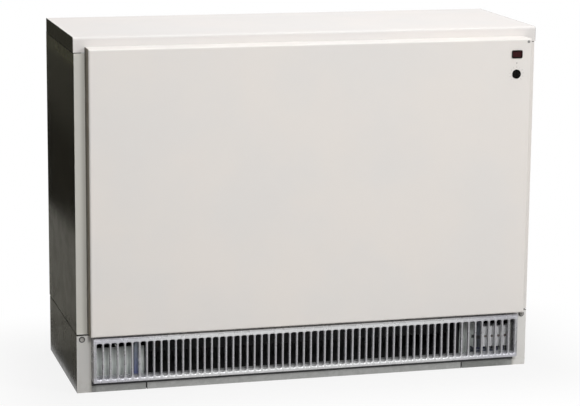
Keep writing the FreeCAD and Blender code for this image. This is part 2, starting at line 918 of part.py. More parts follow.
def make_baffle():
    """The plate that closes the left end bay behind the grille."""
    inner = "post_width"
    length = "bay_width - plinth_split / 2 - (%s)" % inner
    size = (length, "inner_sheet", "deck_z - floor_plate - baffle_gap")
    at = (beside("left", inner, length), "face_y + baffle_back", "floor_plate")
    keep(block("baffle", size, at), "left_bay_baffle")


# Insulation boards and inner sheets


def make_inner_sheets(element_holes, probe_hole):
    span = "body_width - 2 * side_return - 2 * free_gap"
    front = block(
        "inner_front",
        (span, "inner_sheet", "lid_z - inner_sheet - base_height"),
        ("-(%s) / 2" % span, "face_y + skin", "base_height"),
    )
    holes = [rod("inner_front_loom", "loom_hole", "8 * skin", ("loom_x", "face_y - 2 * skin", "loom_z"), "y")]
    for side in sides:
        for n, z in enumerate(stile_screw_levels):
            holes.append(screw_hole("inner_front_%s_%d" % (side, n), stile_screw_x(side), z))
    keep(cut("inner_front_cut", front, *holes), "inner_front_sheet")

    top_length = "wiring_x - (core_left - side_insulation)"
    top = block(
        "inner_top",
        (top_length, "inside_rear - (face_y + skin)", "inner_sheet"),
        ("core_left - side_insulation", "face_y + skin", "lid_z - inner_sheet"),
    )
    keep(top, "inner_top_sheet")

    right = block(
        "inner_right",
        ("inner_sheet", "inside_rear - inside_front", "lid_z - inner_sheet - base_height"),
        ("wiring_x - inner_sheet", "inside_front", "base_height"),
    )
    keep(cut("inner_right_cut", right, element_holes, probe_hole), "inner_right_sheet")


def make_insulation(air_ways, element_holes, probe_hole):
    wall_height = "top_board_z - base_height"
    full_depth = "inside_rear - inside_front"
    core_length = "core_right - core_left"
    front = (core_length, "front_insulation", wall_height)
    keep(block("front_board", front, ("core_left", "inside_front", "base_height")), "insulation_front")
    rear = (core_length, "rear_insulation", wall_height)
    keep(block("rear_board", rear, ("core_left", "core_back", "base_height")), "insulation_rear")
    left = block(
        "left_board",
        ("side_insulation", full_depth, wall_height),
        ("core_left - side_insulation", "inside_front", "base_height"),
    )
    bend_depth = "element_pitch / 2 + element_radius + bend_room"
    bend_width = "element_pitch + 2 * element_radius + 2 * bend_room"
    pockets = [
        block(
            "bend_pocket_%d" % pair,
            (bend_depth, bend_width, "2 * groove"),
            ("core_left - (%s)" % bend_depth, "core_mid_y - (%s) / 2" % bend_width, element_floor(pair)),
        )
        for pair in range(brick_pairs)
    ]
    keep(cut("left_board_cut", left, *pockets), "insulation_left")
    right_size = ("side_insulation", full_depth, wall_height)
    right = block("right_board", right_size, ("core_right", "inside_front", "base_height"))
    keep(cut("right_board_cut", right, element_holes, probe_hole), "insulation_right")
    bottom = block(
        "bottom_board",
        (core_length, "core_back - core_front", "floor_insulation"),
        ("core_left", "core_front", "base_height"),
    )
    keep(cut("bottom_board_cut", bottom, air_ways), "insulation_bottom")
    top_length = "core_right + side_insulation - (core_left - side_insulation)"
    keep(
        block(
            "top_board",
            (top_length, full_depth, "top_insulation"),
            ("core_left - side_insulation", "inside_front", "top_board_z"),
        ),
        "insulation_top",
    )


# Storage bricks and heating elements


def layer_floor(layer):
    return "core_bottom + %d * brick_height" % layer


def element_floor(pair):
    """The level of the brick that an element lies on: the lower one of its pair."""
    return layer_floor(2 * pair + 1)


def leg_y(leg):
    return "core_mid_y + %d * element_pitch / 2" % leg


legs = (-1, 1)


def make_bricks(pair, air_ways):
    """Two layers of bricks, each with two grooves in its underside for the element's legs."""
    bricks, grooves = [], []
    for layer in (2 * pair, 2 * pair + 1):
        for column in range(brick_columns):
            size = ("brick_length - brick_joint", "core_back - core_front", "brick_height")
            x = "core_left + %d * brick_length + brick_joint / 2" % column
            at = (x, "core_front", layer_floor(layer))
            bricks.append(block("brick_%d_%d" % (layer, column), size, at))
        for leg in legs:
            size = ("core_right - core_left", "2 * groove", "2 * groove")
            at = ("core_left", leg_y(leg) + " - groove", layer_floor(layer))
            grooves.append(block("groove_%d_%s" % (layer, "front" if leg < 0 else "rear"), size, at))
    tool = join("brick_tool_%d" % pair, air_ways, *grooves)
    cut_bricks = [cut(brick.Name + "_cut", brick, tool) for brick in bricks]
    keep(group("bricks_%d" % pair, *cut_bricks), "storage_bricks_%d" % (pair + 1))


def element_axis(pair):
    return element_floor(pair) + " + element_radius + free_gap"


def make_element(pair):
    """A hairpin tube: two legs along X, joined by a half-round bend at the left end."""
    name = "element_%d" % pair
    tubes = [
        rod(
            "%s_leg_%d" % (name, n),
            "element_radius",
            "element_end - core_left",
            ("core_left", leg_y(leg), element_axis(pair)),
            "x",
        )
        for n, leg in enumerate(legs)
    ]
    middle = ("core_left", "core_mid_y", element_axis(pair))
    rear, left = Vector(0, 1, 0), Vector(-1, 0, 0)
    tubes.append(elbow(name + "_bend", "element_radius", "element_pitch / 2", 180, middle, rear, left))
    return join(name, *tubes)


def make_elements():
    keep(group("elements", *[make_element(pair) for pair in range(brick_pairs)]), "heating_elements")


def make_terminals():
    """A threaded stud on each end of each element, and two strips that link the studs."""
    studs, bars = [], []
    for leg in legs:
        holes = []
        for pair in range(brick_pairs):
            name = "%d_%s" % (pair, "front" if leg < 0 else "rear")
            at = ("element_end", leg_y(leg), element_axis(pair))
            studs.append(rod("stud_" + name, "stud_radius", "stud_length", at, "x"))
            holes.append(rod("bar_hole_" + name, "stud_radius + fit_gap", "stud_length", at, "x"))
        low = "%s - busbar_width / 2" % element_axis(0)
        tall = "%s - (%s) + busbar_width" % (element_axis(brick_pairs - 1), element_axis(0))
        bar = block(
            "bar_%d" % leg,
            ("busbar_plate", "busbar_width", tall),
            ("element_end + stud_length / 2", leg_y(leg) + " - busbar_width / 2", low),
        )
        bars.append(cut("bar_cut_%d" % leg, bar, *holes))
    keep(group("studs", *studs), "element_studs")
    keep(group("bars", *bars), "element_busbars")


def make_element_holes():
    """Clearance ways for the element legs through the right board and sheet."""
    ways = [
        rod(
            "element_way_%d_%d" % (pair, leg),
            "groove",
            "side_insulation + 4 * inner_sheet",
            ("core_right - inner_sheet", leg_y(leg), element_axis(pair)),
            "x",
        )
        for pair in range(brick_pairs)
        for leg in legs
    ]
    return join("element_ways", *ways)


def probe_axis():
    """The limiter's probe lies in a free groove of the third layer."""
    return layer_floor(2) + " + probe_radius + free_gap"


def make_probe_hole():
    at = ("core_right - inner_sheet", leg_y(-1), probe_axis())
    return rod("probe_way", "probe_radius + free_gap", "side_insulation + 4 * inner_sheet", at, "x")


def make_limiter():
    """The charge limiter: a box on the right inner sheet with a probe that reaches into the core."""
    box = block(
        "limiter_box",
        ("limiter_bulge", "limiter_depth", "limiter_height"),
        ("wiring_x", leg_y(-1) + " - limiter_depth / 2", probe_axis() + " - limiter_height / 2"),
    )
    tip = ("wiring_x - probe_length", leg_y(-1), probe_axis())
    probe = rod("limiter_probe", "probe_radius", "probe_length", tip, "x")
    keep(join("limiter", box, probe), "charge_limiter")


# Blower


def make_impeller():
    """A cross-flow drum: three plates on the shaft with a ring of leaning blades between them."""
    drum = new_body("drum", ("-impeller_length / 2", "fan_y", "fan_level"))

    def plate(start):
        ring = circle(sketch_on(drum, "YZ_Plane", ("0", "0", start)), "impeller_radius")
        circle(ring, "shaft_radius + fit_gap")
        return pad(drum, ring, "impeller_plate")

    plate("0")
    inner, outer = "impeller_radius - blade_chord - blade_plate", "impeller_radius - blade_plate"
    blade = outline(
        sketch_on(drum, "YZ_Plane"),
        [
            (inner, "-blade_lean"),
            (outer, "blade_lean"),
            (outer, "blade_lean + blade_plate"),
            (inner, "blade_plate - blade_lean"),
        ],
    )
    ring_of(drum, pad(drum, blade, "impeller_length"), "blade_count")
    plate("(impeller_length - impeller_plate) / 2")
    plate("impeller_length - impeller_plate")
    keep(drum, "fan_impeller")


shaft_start = "-partition_x - shaft_tail"


def make_shaft():
    length = "motor_x + motor_stack + shaft_tail - (%s)" % shaft_start
    keep(rod("shaft", "shaft_radius", length, (shaft_start, "fan_y", "fan_level"), "x"), "fan_shaft")


def make_bushes():
    """A flanged bush in each partition, its flange on the end bay's side."""

    def ring(name, radius, length, x):
        return rod(name, radius, length, (x, "fan_y", "fan_level"), "x")

    bushes = []
    for side in sides:
        name = "bush_" + side
        seat = "-partition_x" if side == "left" else "duct_half"
        flange = "-partition_x - bush_rim" if side == "left" else "partition_x"
        middle = "%s + inner_sheet / 2 - bush_length / 2" % seat
        sleeve = ring(name, "bush_radius", "bush_length", middle)
        rim = ring(name + "_rim", "bush_flange", "bush_rim", flange)
        bore = ring(name + "_bore", "shaft_radius + fit_gap", "3 * bush_length", middle + " - bush_length")
        bushes.append(cut(name + "_cut", join(name + "_solid", sleeve, rim), bore))
    keep(group("bushes", *bushes), "fan_bushes")


def make_motor():
    """A shaded-pole motor: a laminated stack on two pillars, with a coil, and the rotor on the fan shaft."""
    half = "motor_side / 2"
    start = ("motor_x - motor_stack", "fan_y", "fan_level")
    stack = block(
        "stack",
        ("motor_stack", "motor_side", "motor_side"),
        ("motor_x", "fan_y - " + half, "fan_level - " + half),
    )
    coil = block(
        "coil",
        ("motor_stack + 2 * coil_bulge", "coil_side", "coil_bulge"),
        ("motor_x - coil_bulge", "fan_y - coil_side / 2", "fan_level + %s - coil_bulge" % half),
    )
    out = "(%s - pillar_inset)" % half
    corners = (("fan_y - " + out, "fan_level + " + out), ("fan_y + " + out, "fan_level - " + out))
    pillars = [
        rod("pillar_%d" % n, "pillar_radius", "motor_stand", ("partition_x", y, z), "x")
        for n, (y, z) in enumerate(corners)
    ]
    bore = rod("stack_bore", "rotor_radius + motor_air_gap", "3 * motor_stack", start, "x")
    keep(cut("stator", join("stator_solid", stack, coil, *pillars), bore), "fan_motor_stator")
    rotor = rod("rotor", "rotor_radius", "motor_stack", ("motor_x", "fan_y", "fan_level"), "x")
    seat = rod("rotor_seat", "shaft_radius + fit_gap", "3 * motor_stack", start, "x")
    keep(cut("rotor_cut", rotor, seat), "fan_motor_rotor")


def make_blower_housing():
    """A quarter-round scroll under the drum, a rear plate up to the deck and a cut-off plate in front."""
    length = "2 * duct_half"
    start = "-duct_half"
    axis = (start, "fan_y", "fan_level")
    outer = rod("scroll_outer", "scroll + inner_sheet", length, axis, "x")
    beyond = ("2 * (%s)" % start, "fan_y", "fan_level")
    inner = rod("scroll_inner", "scroll", "2 * (%s)" % length, beyond, "x")
    shell = cut("scroll_shell", outer, inner)
    quarter = doc.addObject("Part::Common", "scroll_quarter")
    quarter.Base = shell
    quarter.Tool = block(
        "scroll_keep",
        (length, "scroll + inner_sheet", "scroll + inner_sheet"),
        (start, "fan_y", "fan_level - scroll - inner_sheet"),
    )
    rear_size = (length, "inner_sheet", "deck_z - fan_level")
    rear = block("scroll_rear", rear_size, (start, "fan_y + scroll", "fan_level"))
    cutoff = block(
        "scroll_cutoff",
        (length, "inner_sheet", "cutoff_height"),
        (start, "fan_y - scroll - inner_sheet", "deck_z - cutoff_height"),
    )
    keep(group("housing", join("scroll", quarter, rear), cutoff), "blower_housing")


# Mixing flap


def make_flap():
    """A plate that hangs from a rod between the partitions and swings to the rear."""
    tail = "flap_pin_tail"
    pin = rod(
        "flap_rod",
        "flap_pin",
        "2 * (partition_x + %s)" % tail,
        ("-(partition_x + %s)" % tail, "flap_y", "flap_z"),
        "x",
    )
    plate = block(
        "flap_blade",
        ("2 * duct_half - 8 * free_gap", "flap_plate", "flap_height"),
        ("-(duct_half - 4 * free_gap)", "flap_y - flap_plate / 2", "flap_z - flap_height"),
    )
    keep(join("flap", pin, plate), "mixing_flap")


def make_bimetal():
    """The strip that hangs from the deck in front of the flap and pushes it as it warms."""
    at = (
        "-duct_half + bimetal_inset",
        "flap_y - flap_pin - 2 * free_gap - bimetal_plate",
        "deck_z - bimetal_length",
    )
    keep(block("bimetal", ("bimetal_width", "bimetal_plate", "bimetal_length"), at), "bimetal_strip")


# Controls


def make_switch_housing():
    """A bezel with a box behind it that snaps into the front panel and holds the rocker."""
    bezel = new_body("bezel", ("control_x", "panel_y", "switch_z - bezel_height / 2"))
    rim = soft_rectangle(sketch_on(bezel, "XZ_Plane"), "bezel_width", "bezel_height", "bezel_round")
    pad(bezel, rim, "bezel_proud")
    box = block(
        "switch_box",
        ("switch_width", "switch_depth", "switch_height"),
        ("control_x - switch_width / 2", "panel_y", "switch_z - switch_height / 2"),
    )
    well_length, well_height = "rocker_length + 2 * rocker_room", "rocker_height + 2 * free_gap"
    well = block(
        "switch_well",
        (well_length, "bezel_proud + rocker_well", well_height),
        ("control_x - (%s) / 2" % well_length, "panel_y - bezel_proud", "switch_z - (%s) / 2" % well_height),
    )
    pin_way = rod(
        "switch_pin_way",
        "rocker_pin + fit_gap",
        "2 * rocker_pin_tail + rocker_height",
        ("control_x", "rocker_y", "switch_z - rocker_height / 2 - rocker_pin_tail"),
        "z",
    )
    keep(cut("switch", join("switch_solid", bezel, box), well, pin_way), "switch_housing")


def make_rocker():
    """A dished rocker on two stub pins, resting with its right end out."""
    rocker = new_body("rocker", ("control_x", "rocker_y", "switch_z"))
    rocker.Placement = FreeCAD.Placement(Vector(), FreeCAD.Rotation(Vector(0, 0, 1), 1))
    place(rocker, ("control_x", "rocker_y", "switch_z"))
    rocker.setExpression("Placement.Rotation.Angle", cells("-rocker_tilt"))
    half = "rocker_length / 2"
    shape = outline(
        sketch_on(rocker, "XY_Plane", ("0", "0", "-rocker_height / 2")),
        [
            ("-" + half, "-rocker_rise"),
            ("0", "-rocker_dip"),
            (half, "-rocker_rise"),
            (half, "rocker_dip"),
            ("0", "rocker_belly"),
            ("-" + half, "rocker_dip"),
        ],
    )
    pad(rocker, shape, "rocker_height")
    tail = "rocker_pin_tail - free_gap"
    pin = sketch_on(rocker, "XY_Plane", ("0", "0", "-rocker_height / 2 - (%s)" % tail))
    pad(rocker, circle(pin, "rocker_pin"), "rocker_height + 2 * (%s)" % tail)
    keep(rocker, "switch_rocker")


def make_thermostat():
    box = block(
        "thermostat",
        ("thermostat_width", "thermostat_depth", "thermostat_height"),
        (
            "control_x - thermostat_width / 2",
            "face_y + skin - thermostat_depth",
            "knob_z - thermostat_height / 2",
        ),
    )
    seat = rod(
        "spindle_way",
        "knob_shaft + fit_gap",
        "spindle_seat + 2 * free_gap",
        ("control_x", "face_y + skin - thermostat_depth - free_gap", "knob_z"),
        "y",
    )
    keep(cut("thermostat_cut", box, seat), "thermostat_body")


def make_knob():
    """A nearly flush round knob with a coin slot, on a spindle that turns in the thermostat."""
    knob = new_body("knob", ("control_x", "panel_y - knob_proud", "knob_z"))
    pad(knob, circle(sketch_on(knob, "XZ_Plane"), "knob_radius"), "knob_depth", backwards=True)
    round_edges(knob, "knob_chamfer", "YMin")
    slot = sketch_on(knob, "XZ_Plane", ("-knob_slot / 2", "-2 * knob_radius", "0"))
    pocket(knob, rectangle(slot, "knob_slot", "4 * knob_radius"), "knob_slot_depth")
    spindle_end = "face_y + skin - thermostat_depth + spindle_seat - free_gap"
    spindle = circle(sketch_on(knob, "XZ_Plane", ("0", "0", "-knob_depth")), "knob_shaft")
    pad(knob, spindle, spindle_end + " - (panel_y - knob_proud) - knob_depth", backwards=True)
    keep(knob, "thermostat_knob")


# Wiring and supply


def make_loom():
    """The control wiring: from the thermostat, back through the inner sheet, down to the terminals."""
    front_y, rear_y = "face_y - loom_forward", "face_y + loom_back"
    top, bottom = "knob_z - thermostat_height / 2", "block_level + block_height"
    above, below = "loom_z + loom_bend", "loom_z - loom_bend"
    near_y, far_y = front_y + " + loom_bend", rear_y + " - loom_bend"
    front, rear = Vector(0, -1, 0), Vector(0, 1, 0)
    up, down = Vector(0, 0, 1), Vector(0, 0, -1)

    def run(name, length, y, z, along):
        return rod("loom_" + name, "loom_radius", length, ("loom_x", y, z), along)

    def turn(name, y, z, start, onward):
        return elbow("loom_" + name, "loom_radius", "loom_bend", 90, ("loom_x", y, z), start, onward)

    keep(
        join(
            "loom",
            run("drop", "%s - (%s)" % (top, above), front_y, above, "z"),
            turn("lower_bend", near_y, above, front, down),
            run("level", "%s - (%s)" % (far_y, near_y), near_y, "loom_z", "y"),
            turn("upper_bend", far_y, below, rear, up),
            run("riser", "%s - (%s)" % (below, bottom), rear_y, bottom, "z"),
        ),
        "control_loom",
    )


def make_terminal_block():
    """The supply terminals on an upright bracket in the right end bay."""
    bracket_y = "face_y + bracket_back"
    low = "block_level + block_height - block_rise - floor_plate"
    foot = ("bracket_x", bracket_y, "floor_plate")
    plate = block("terminal_plate", ("bracket_width", "inner_sheet", low), foot)
    tab = block("terminal_tab", ("bracket_tab", "inner_sheet", "deck_z - floor_plate - bracket_gap"), foot)
    keep(join("terminal_sheet", plate, tab), "terminal_bracket")
    front_y = bracket_y + " - block_depth"
    block_size = ("block_width", "block_depth", "block_height")
    body = block("terminals", block_size, ("block_x", front_y, "block_level"))
    wells = []
    for pole in range(block_poles):
        x = "block_x + %s * block_width / %d" % (pole + 0.5, block_poles)
        at = (x, front_y + " - block_screw_sink", "block_level + block_height / 2")
        wells.append(rod("pole_well_%d" % pole, "block_screw", "2 * block_screw_sink", at, "y"))
    keep(cut("terminals_cut", body, *wells), "terminal_block")


def make_gland():
    """A cable gland through the base's rear wall, with its collar outside."""
    outer_end = "back_y + inner_sheet + gland_rim"
    gland = new_body("gland", ("gland_x", outer_end, "gland_level"))
    ring = circle(sketch_on(gland, "XZ_Plane"), "gland_flange")
    circle(ring, "gland_bore")
    pad(gland, ring, "gland_rim")
    thread = circle(sketch_on(gland, "XZ_Plane"), "gland_thread")
    circle(thread, "gland_bore")
    pad(gland, thread, "gland_length")
    round_edges(gland, "edge_round / 2", "YMax")
    keep(gland, "cable_gland")


# Screws


def make_screw(name, x, y, z, length, towards_rear):
    """A pan-head screw along Y with a cross recess; its head's seat is at y."""
    screw = new_body(name, (x, y, z))
    head = circle(sketch_on(screw, "XZ_Plane"), "screw_head")
    pad(screw, head, "screw_head_height", backwards=not towards_rear)
    outer = "YMin" if towards_rear else "YMax"
    round_edges(screw, "screw_head_height / 3", outer)
    shank = circle(sketch_on(screw, "XZ_Plane"), "screw_radius")
    pad(screw, shank, length, backwards=towards_rear)
    arm, breadth = "screw_head", "screw_radius / 2"
    level = "screw_head_height" if towards_rear else "-screw_head_height"
    for wide, tall in ((arm, breadth), (breadth, arm)):
        recess = sketch_on(screw, "XZ_Plane", ("-%s / 2" % wide, "-%s / 2" % tall, level))
        pocket(screw, rectangle(recess, wide, tall), "screw_recess", backwards=not towards_rear)
    return screw


def make_screws():
    visible = [
        make_screw("post_screw_" + side, post_screw_x(side), "face_y", post_screw_z, "screw_length", True)
        for side in sides
    ]
    keep(group("post_screws", *visible), "base_screws")
    hidden = []
    for side in sides:
        short = "skin + inner_sheet - free_gap"
        for n, z in enumerate(stile_screw_levels):
            name = "stile_screw_%s_%d" % (side, n)
            hidden.append(make_screw(name, stile_screw_x(side), "face_y", z, short, True))
        for n, z in enumerate(rear_screw_levels):
            name = "rear_screw_%s_%d" % (side, n)
            hidden.append(make_screw(name, rear_screw_x(side), "rear_y", z, "skin + inner_sheet", False))
    keep(group("cabinet_screws", *hidden), "cabinet_screws")


def make_all():
    make_lid()
    make_front_panel()
    make_panel_plug()
    for side in sides:
        make_lid_cap(side)
        make_stile(side)
        make_side_panel(side)
        make_base_post(side)
        make_base_side(side)
        make_partition(side)
    make_rear_panel()
    make_wall_brackets()
    make_base_floors()
    make_base_back()
    make_grille()
    make_baffle()
    air_ways = make_air_channels()
    element_holes = make_element_holes()
    probe_hole = make_probe_hole()
    make_deck(air_ways)
    make_inner_sheets(element_holes, probe_hole)
    make_insulation(air_ways, element_holes, probe_hole)
    for pair in range(brick_pairs):
        make_bricks(pair, air_ways)
    make_elements()
    make_terminals()
    make_limiter()
    make_impeller()
    make_shaft()
    make_bushes()
    make_motor()
    make_blower_housing()
    make_flap()
    make_bimetal()
    make_switch_housing()
    make_rocker()
    make_thermostat()
    make_knob()
    make_loom()
    make_terminal_block()
    make_gland()
    make_screws()


def check_and_write():
    """Write every sub-part, once the whole document is sound."""
    doc.recompute()
    for item in doc.Objects:
        if "Invalid" in item.State or "Error" in item.State:
            raise RuntimeError("%s failed: %s" % (item.Name, item.State))
    for item in parts:
        shape = item.Shape
        if shape.isNull() or not shape.isValid() or not shape.Solids:
            raise RuntimeError("%s has no valid solid" % item.Label)
    os.makedirs("parts", exist_ok=True)
    for item in parts:
        item.Shape.exportStep("parts/%s.step" % item.Label)
    print("%d sub-parts, %d solids" % (len(parts), sum(len(item.Shape.Solids) for item in parts)))


make_all()
check_and_write()
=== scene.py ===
import json
import math

import bmesh
import bpy
from mathutils import Matrix, Vector


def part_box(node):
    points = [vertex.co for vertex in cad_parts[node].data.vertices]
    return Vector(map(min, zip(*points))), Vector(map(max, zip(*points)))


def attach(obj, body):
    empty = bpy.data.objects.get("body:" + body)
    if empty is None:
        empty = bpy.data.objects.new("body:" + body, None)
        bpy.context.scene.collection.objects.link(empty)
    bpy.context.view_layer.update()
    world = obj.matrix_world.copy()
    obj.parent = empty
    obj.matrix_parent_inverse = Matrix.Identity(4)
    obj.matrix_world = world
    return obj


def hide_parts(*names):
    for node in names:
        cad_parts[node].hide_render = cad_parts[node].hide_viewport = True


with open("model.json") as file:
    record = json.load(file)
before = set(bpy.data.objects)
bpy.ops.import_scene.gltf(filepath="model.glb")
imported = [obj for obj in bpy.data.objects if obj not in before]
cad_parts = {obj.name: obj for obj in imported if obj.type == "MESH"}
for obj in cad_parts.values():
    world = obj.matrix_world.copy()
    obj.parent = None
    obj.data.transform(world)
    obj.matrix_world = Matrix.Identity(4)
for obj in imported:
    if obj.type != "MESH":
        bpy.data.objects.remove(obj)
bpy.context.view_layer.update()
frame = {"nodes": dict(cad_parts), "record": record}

nodes = frame["nodes"]
scene = bpy.context.scene
print("frame loaded,", len(nodes), "CAD nodes")


# shader helpers
def feed(socket, value):
    # a link from another socket, or a plain value
    if isinstance(value, bpy.types.NodeSocket):
        socket.id_data.links.new(value, socket)
    else:
        socket.default_value = (*value, 1) if socket.type == "RGBA" else value


def addNode(tree, kind, inputs=None, **settings):
    node = tree.nodes.new(kind)
    for key, value in settings.items():
        setattr(node, key, value)
    for key, value in (inputs or {}).items():
        feed(node.inputs[key], value)
    return node


def startFinish(name):
    material = bpy.data.materials.new(name)
    material.use_nodes = True
    place = addNode(material.node_tree, "ShaderNodeTexCoord").outputs["Object"]
    return material, place


def makeFinish(name, recipe, *looks):
    material, place = startFinish(name)
    recipe(place, *looks)
    return material


shaderSockets = {
    "colour": "Base Color",
    "metal": "Metallic",
    "rough": "Roughness",
    "specular": "Specular IOR Level",
    "bending": "IOR",
    "normal": "Normal",
}


def setShader(place, **inputs):
    shader = place.id_data.nodes["Principled BSDF"]
    for key, value in inputs.items():
        feed(shader.inputs[shaderSockets[key]], value)


def noise(place, grain, detail):
    # grain is the size of a blotch in metres
    inputs = {"Vector": place, "Scale": 1 / grain, "Detail": detail}
    return addNode(place.id_data, "ShaderNodeTexNoise", inputs).outputs["Fac"]


def spread(value, start, end, low=0.0, high=1.0):
    inputs = {"Value": value, "From Min": start, "From Max": end, "To Min": low, "To Max": high}
    node = addNode(value.id_data, "ShaderNodeMapRange", inputs, interpolation_type="SMOOTHSTEP")
    return node.outputs["Result"]


def patches(place, grain, detail, start, end, low=0.0, high=1.0):
    return spread(noise(place, grain, detail), start, end, low, high)


def blend(factor, first, second):
    inputs = {0: factor, 6: first, 7: second}
    return addNode(factor.id_data, "ShaderNodeMix", inputs, data_type="RGBA").outputs[2]


def combine(first, second, operation="MULTIPLY"):
    inputs = {0: first, 1: second}
    return addNode(first.id_data, "ShaderNodeMath", inputs, operation=operation).outputs[0]


def sized(value):
    # the value without its sign
    return addNode(value.id_data, "ShaderNodeMath", {0: value}, operation="ABSOLUTE").outputs[0]


def bump(height, depth, strength=1.0, under=None):
    inputs = {"Height": height, "Distance": depth, "Strength": strength}
    if under is not None:
        inputs["Normal"] = under
    return addNode(height.id_data, "ShaderNodeBump", inputs).outputs["Normal"]


def stretched(place, scale):
    inputs = {"Vector": place, "Scale": scale}
    return addNode(place.id_data, "ShaderNodeMapping", inputs).outputs["Vector"]


def axis(place, letter):
    return addNode(place.id_data, "ShaderNodeSeparateXYZ", {"Vector": place}).outputs[letter]


def edgeMask(place, radius, start=0.995, end=0.86):
    # 0 on flats, 1 on the crest of an edge
    tree = place.id_data
    rounded = addNode(tree, "ShaderNodeBevel", {"Radius": radius}, samples=4).outputs["Normal"]
    plain = addNode(tree, "ShaderNodeNewGeometry").outputs["Normal"]
    turn = addNode(tree, "ShaderNodeVectorMath", {0: rounded, 1: plain}, operation="DOT_PRODUCT")
    return spread(turn.outputs["Value"], start, end)


# cream-white stoved enamel; the lid, the left strip and the posts have shades of their own
creamLook = {
    "colour": (0.775, 0.738, 0.702),
    "cool": (0.752, 0.727, 0.702),
    "grime": (0.47, 0.44, 0.39),
    "worn": (0.86, 0.84, 0.80),
    "rough": (0.44, 0.54),
    "specular": 0.32,
    "bending": 1.45,
    "cloudSize": 0.19,
    "smearSize": 0.03,
    "peelSize": 0.0016,
    "peelDepth": 0.00004,
    "grimeSize": 0.012,
    "grimeHeight": 0.050,
    "edgeWidth": 0.0022,
}


def creamColour(place, look):
    cloud = patches(place, look["cloudSize"], 3, 0.35, 0.65)
    colour = blend(cloud, look["colour"], look["cool"])
    smear = patches(place, look["smearSize"], 4, 0.4, 0.7, 0.1, 0.6)
    # the paler colour on the edges' crests is partly wear, partly a painted highlight
    worn = combine(edgeMask(place, look["edgeWidth"]), smear)
    colour = blend(worn, colour, look["worn"])
    low = spread(axis(place, "Z"), 0.0, look["grimeHeight"], 1.0, 0.0)
    patchy = patches(place, look["grimeSize"], 6, 0.42, 0.72, 0.0, 0.22)
    return blend(combine(low, patchy), colour, look["grime"])


def coat(place, look, colour, rough=None, **more):
    # gloss in smears, and the slight peel of stoved paint
    if rough is None:
        rough = patches(place, look["smearSize"], 4, 0.3, 0.7, *look["rough"])
    peel = bump(noise(place, look["peelSize"], 1), look["peelDepth"])
    setShader(place, colour=colour, rough=rough, normal=peel, specular=look["specular"], **more)


def creamEnamel(place, look):
    coat(place, look, creamColour(place, look), bending=look["bending"])


# the lid is a little less yellow than the panel, and duller
lidLook = dict(
    creamLook,
    colour=(0.775, 0.743, 0.722),
    cool=(0.755, 0.734, 0.720),
    rough=(0.56, 0.66),
    bending=1.10,
)

# dark glossy enamel of the sides and the lid's ends, carrying painted reflections, painted shade in the
# lid's joint and painted highlights on its edges
umberLook = {
    "colour": (0.066, 0.060, 0.047),
    "olive": (0.073, 0.068, 0.049),
    "dustAndReflection": (0.105, 0.098, 0.080),
    "worn": (0.16, 0.15, 0.13),
    "rough": (0.11, 0.17),
    "specular": 0.5,
    "bending": 1.22,
    "cloudSize": 0.16,
    "smearSize": 0.035,
    "wearSize": 0.018,
    "peelSize": 0.0040,
    "peelDepth": 0.000012,
    "driftSize": 0.09,
    "driftShape": (1, 1, 0.35),
    # lighter towards the bottom: partly dust, partly a painted reflection of the floor
    "dustAndReflectionHeight": (0.05, 0.46),
    "dustAndReflectionShare": (0.26, 0.02),
    "dustDulls": 0.5,
    # painted reflections: a lighter olive zone high on the sides and a lighter band just under the lid
    "upperReflection": (0.102, 0.098, 0.072),
    "upperReflectionHeight": (0.40, 0.62),
    "upperReflectionShare": 0.75,
    "reflectionBand": (0.235, 0.233, 0.140),
    "reflectionBandHeight": (0.602, 0.622),
    "reflectionBandShare": 0.6,
    # painted shadow in the joint under the lid, drawn across cap and side
    "jointShade": (0.010, 0.009, 0.007),
    "jointShadeHeight": (0.6372, 0.6403),
    "jointShadeSoft": 0.0003,
    "edgeWidth": 0.0020,
}


def umberTone(place, look):
    level = axis(place, "Z")
    low, high = look["jointShadeHeight"]
    soft = look["jointShadeSoft"]
    # lighter and duller towards the bottom: partly dust, partly a painted reflection of the floor
    film = spread(level, *look["dustAndReflectionHeight"], *look["dustAndReflectionShare"])
    drift = patches(stretched(place, look["driftShape"]), look["driftSize"], 4, 0.25, 0.75, 0.75)
    dustAndReflectionMask = combine(film, drift)
    # painted reflections: the lighter zone high on the side and the lighter band under the lid
    reflectionBandFade = spread(level, *look["reflectionBandHeight"], 0.0, look["reflectionBandShare"])
    # painted shadow in the joint under the lid, across cap and side
    above = spread(level, low - soft, low)
    wear = patches(place, look["wearSize"], 4, 0.45, 0.7, 0.0, 0.5)
    layers = {
        "olive": patches(place, look["cloudSize"], 3, 0.35, 0.65),
        "dustAndReflection": dustAndReflectionMask,
        "upperReflection": spread(level, *look["upperReflectionHeight"], 0.0, look["upperReflectionShare"]),
        "reflectionBand": combine(reflectionBandFade, spread(level, low, high, 1.0, 0.0)),
        "jointShade": combine(above, spread(level, high, high + soft, 1.0, 0.0)),
        # the paler edge colour is partly wear, partly a painted highlight
        "worn": combine(edgeMask(place, look["edgeWidth"]), wear),
    }
    colour = look["colour"]
    for key, share in layers.items():
        colour = blend(share, colour, look[key])
    smear = patches(place, look["smearSize"], 5, 0.3, 0.7, *look["rough"])
    return colour, combine(smear, combine(dustAndReflectionMask, look["dustDulls"]), "ADD")


def umberEnamel(place, look):
    coat(place, look, *umberTone(place, look), bending=look["bending"])


# the lid's ends: dark on the outer face, cream where the lid's front and top run out
capLook = {"outerDepth": 0.0004, "blendDepth": 0.0002}


def capEnamel(place, look, cream, umber):
    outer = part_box("lid_end_cap_right")[1].x - look["outerDepth"]
    dark = spread(sized(axis(place, "X")), outer - look["blendDepth"], outer)
    umberColour, rough = umberTone(place, umber)
    colour = blend(dark, creamColour(place, cream), umberColour)
    coat(place, cream, colour, rough, bending=cream["bending"])


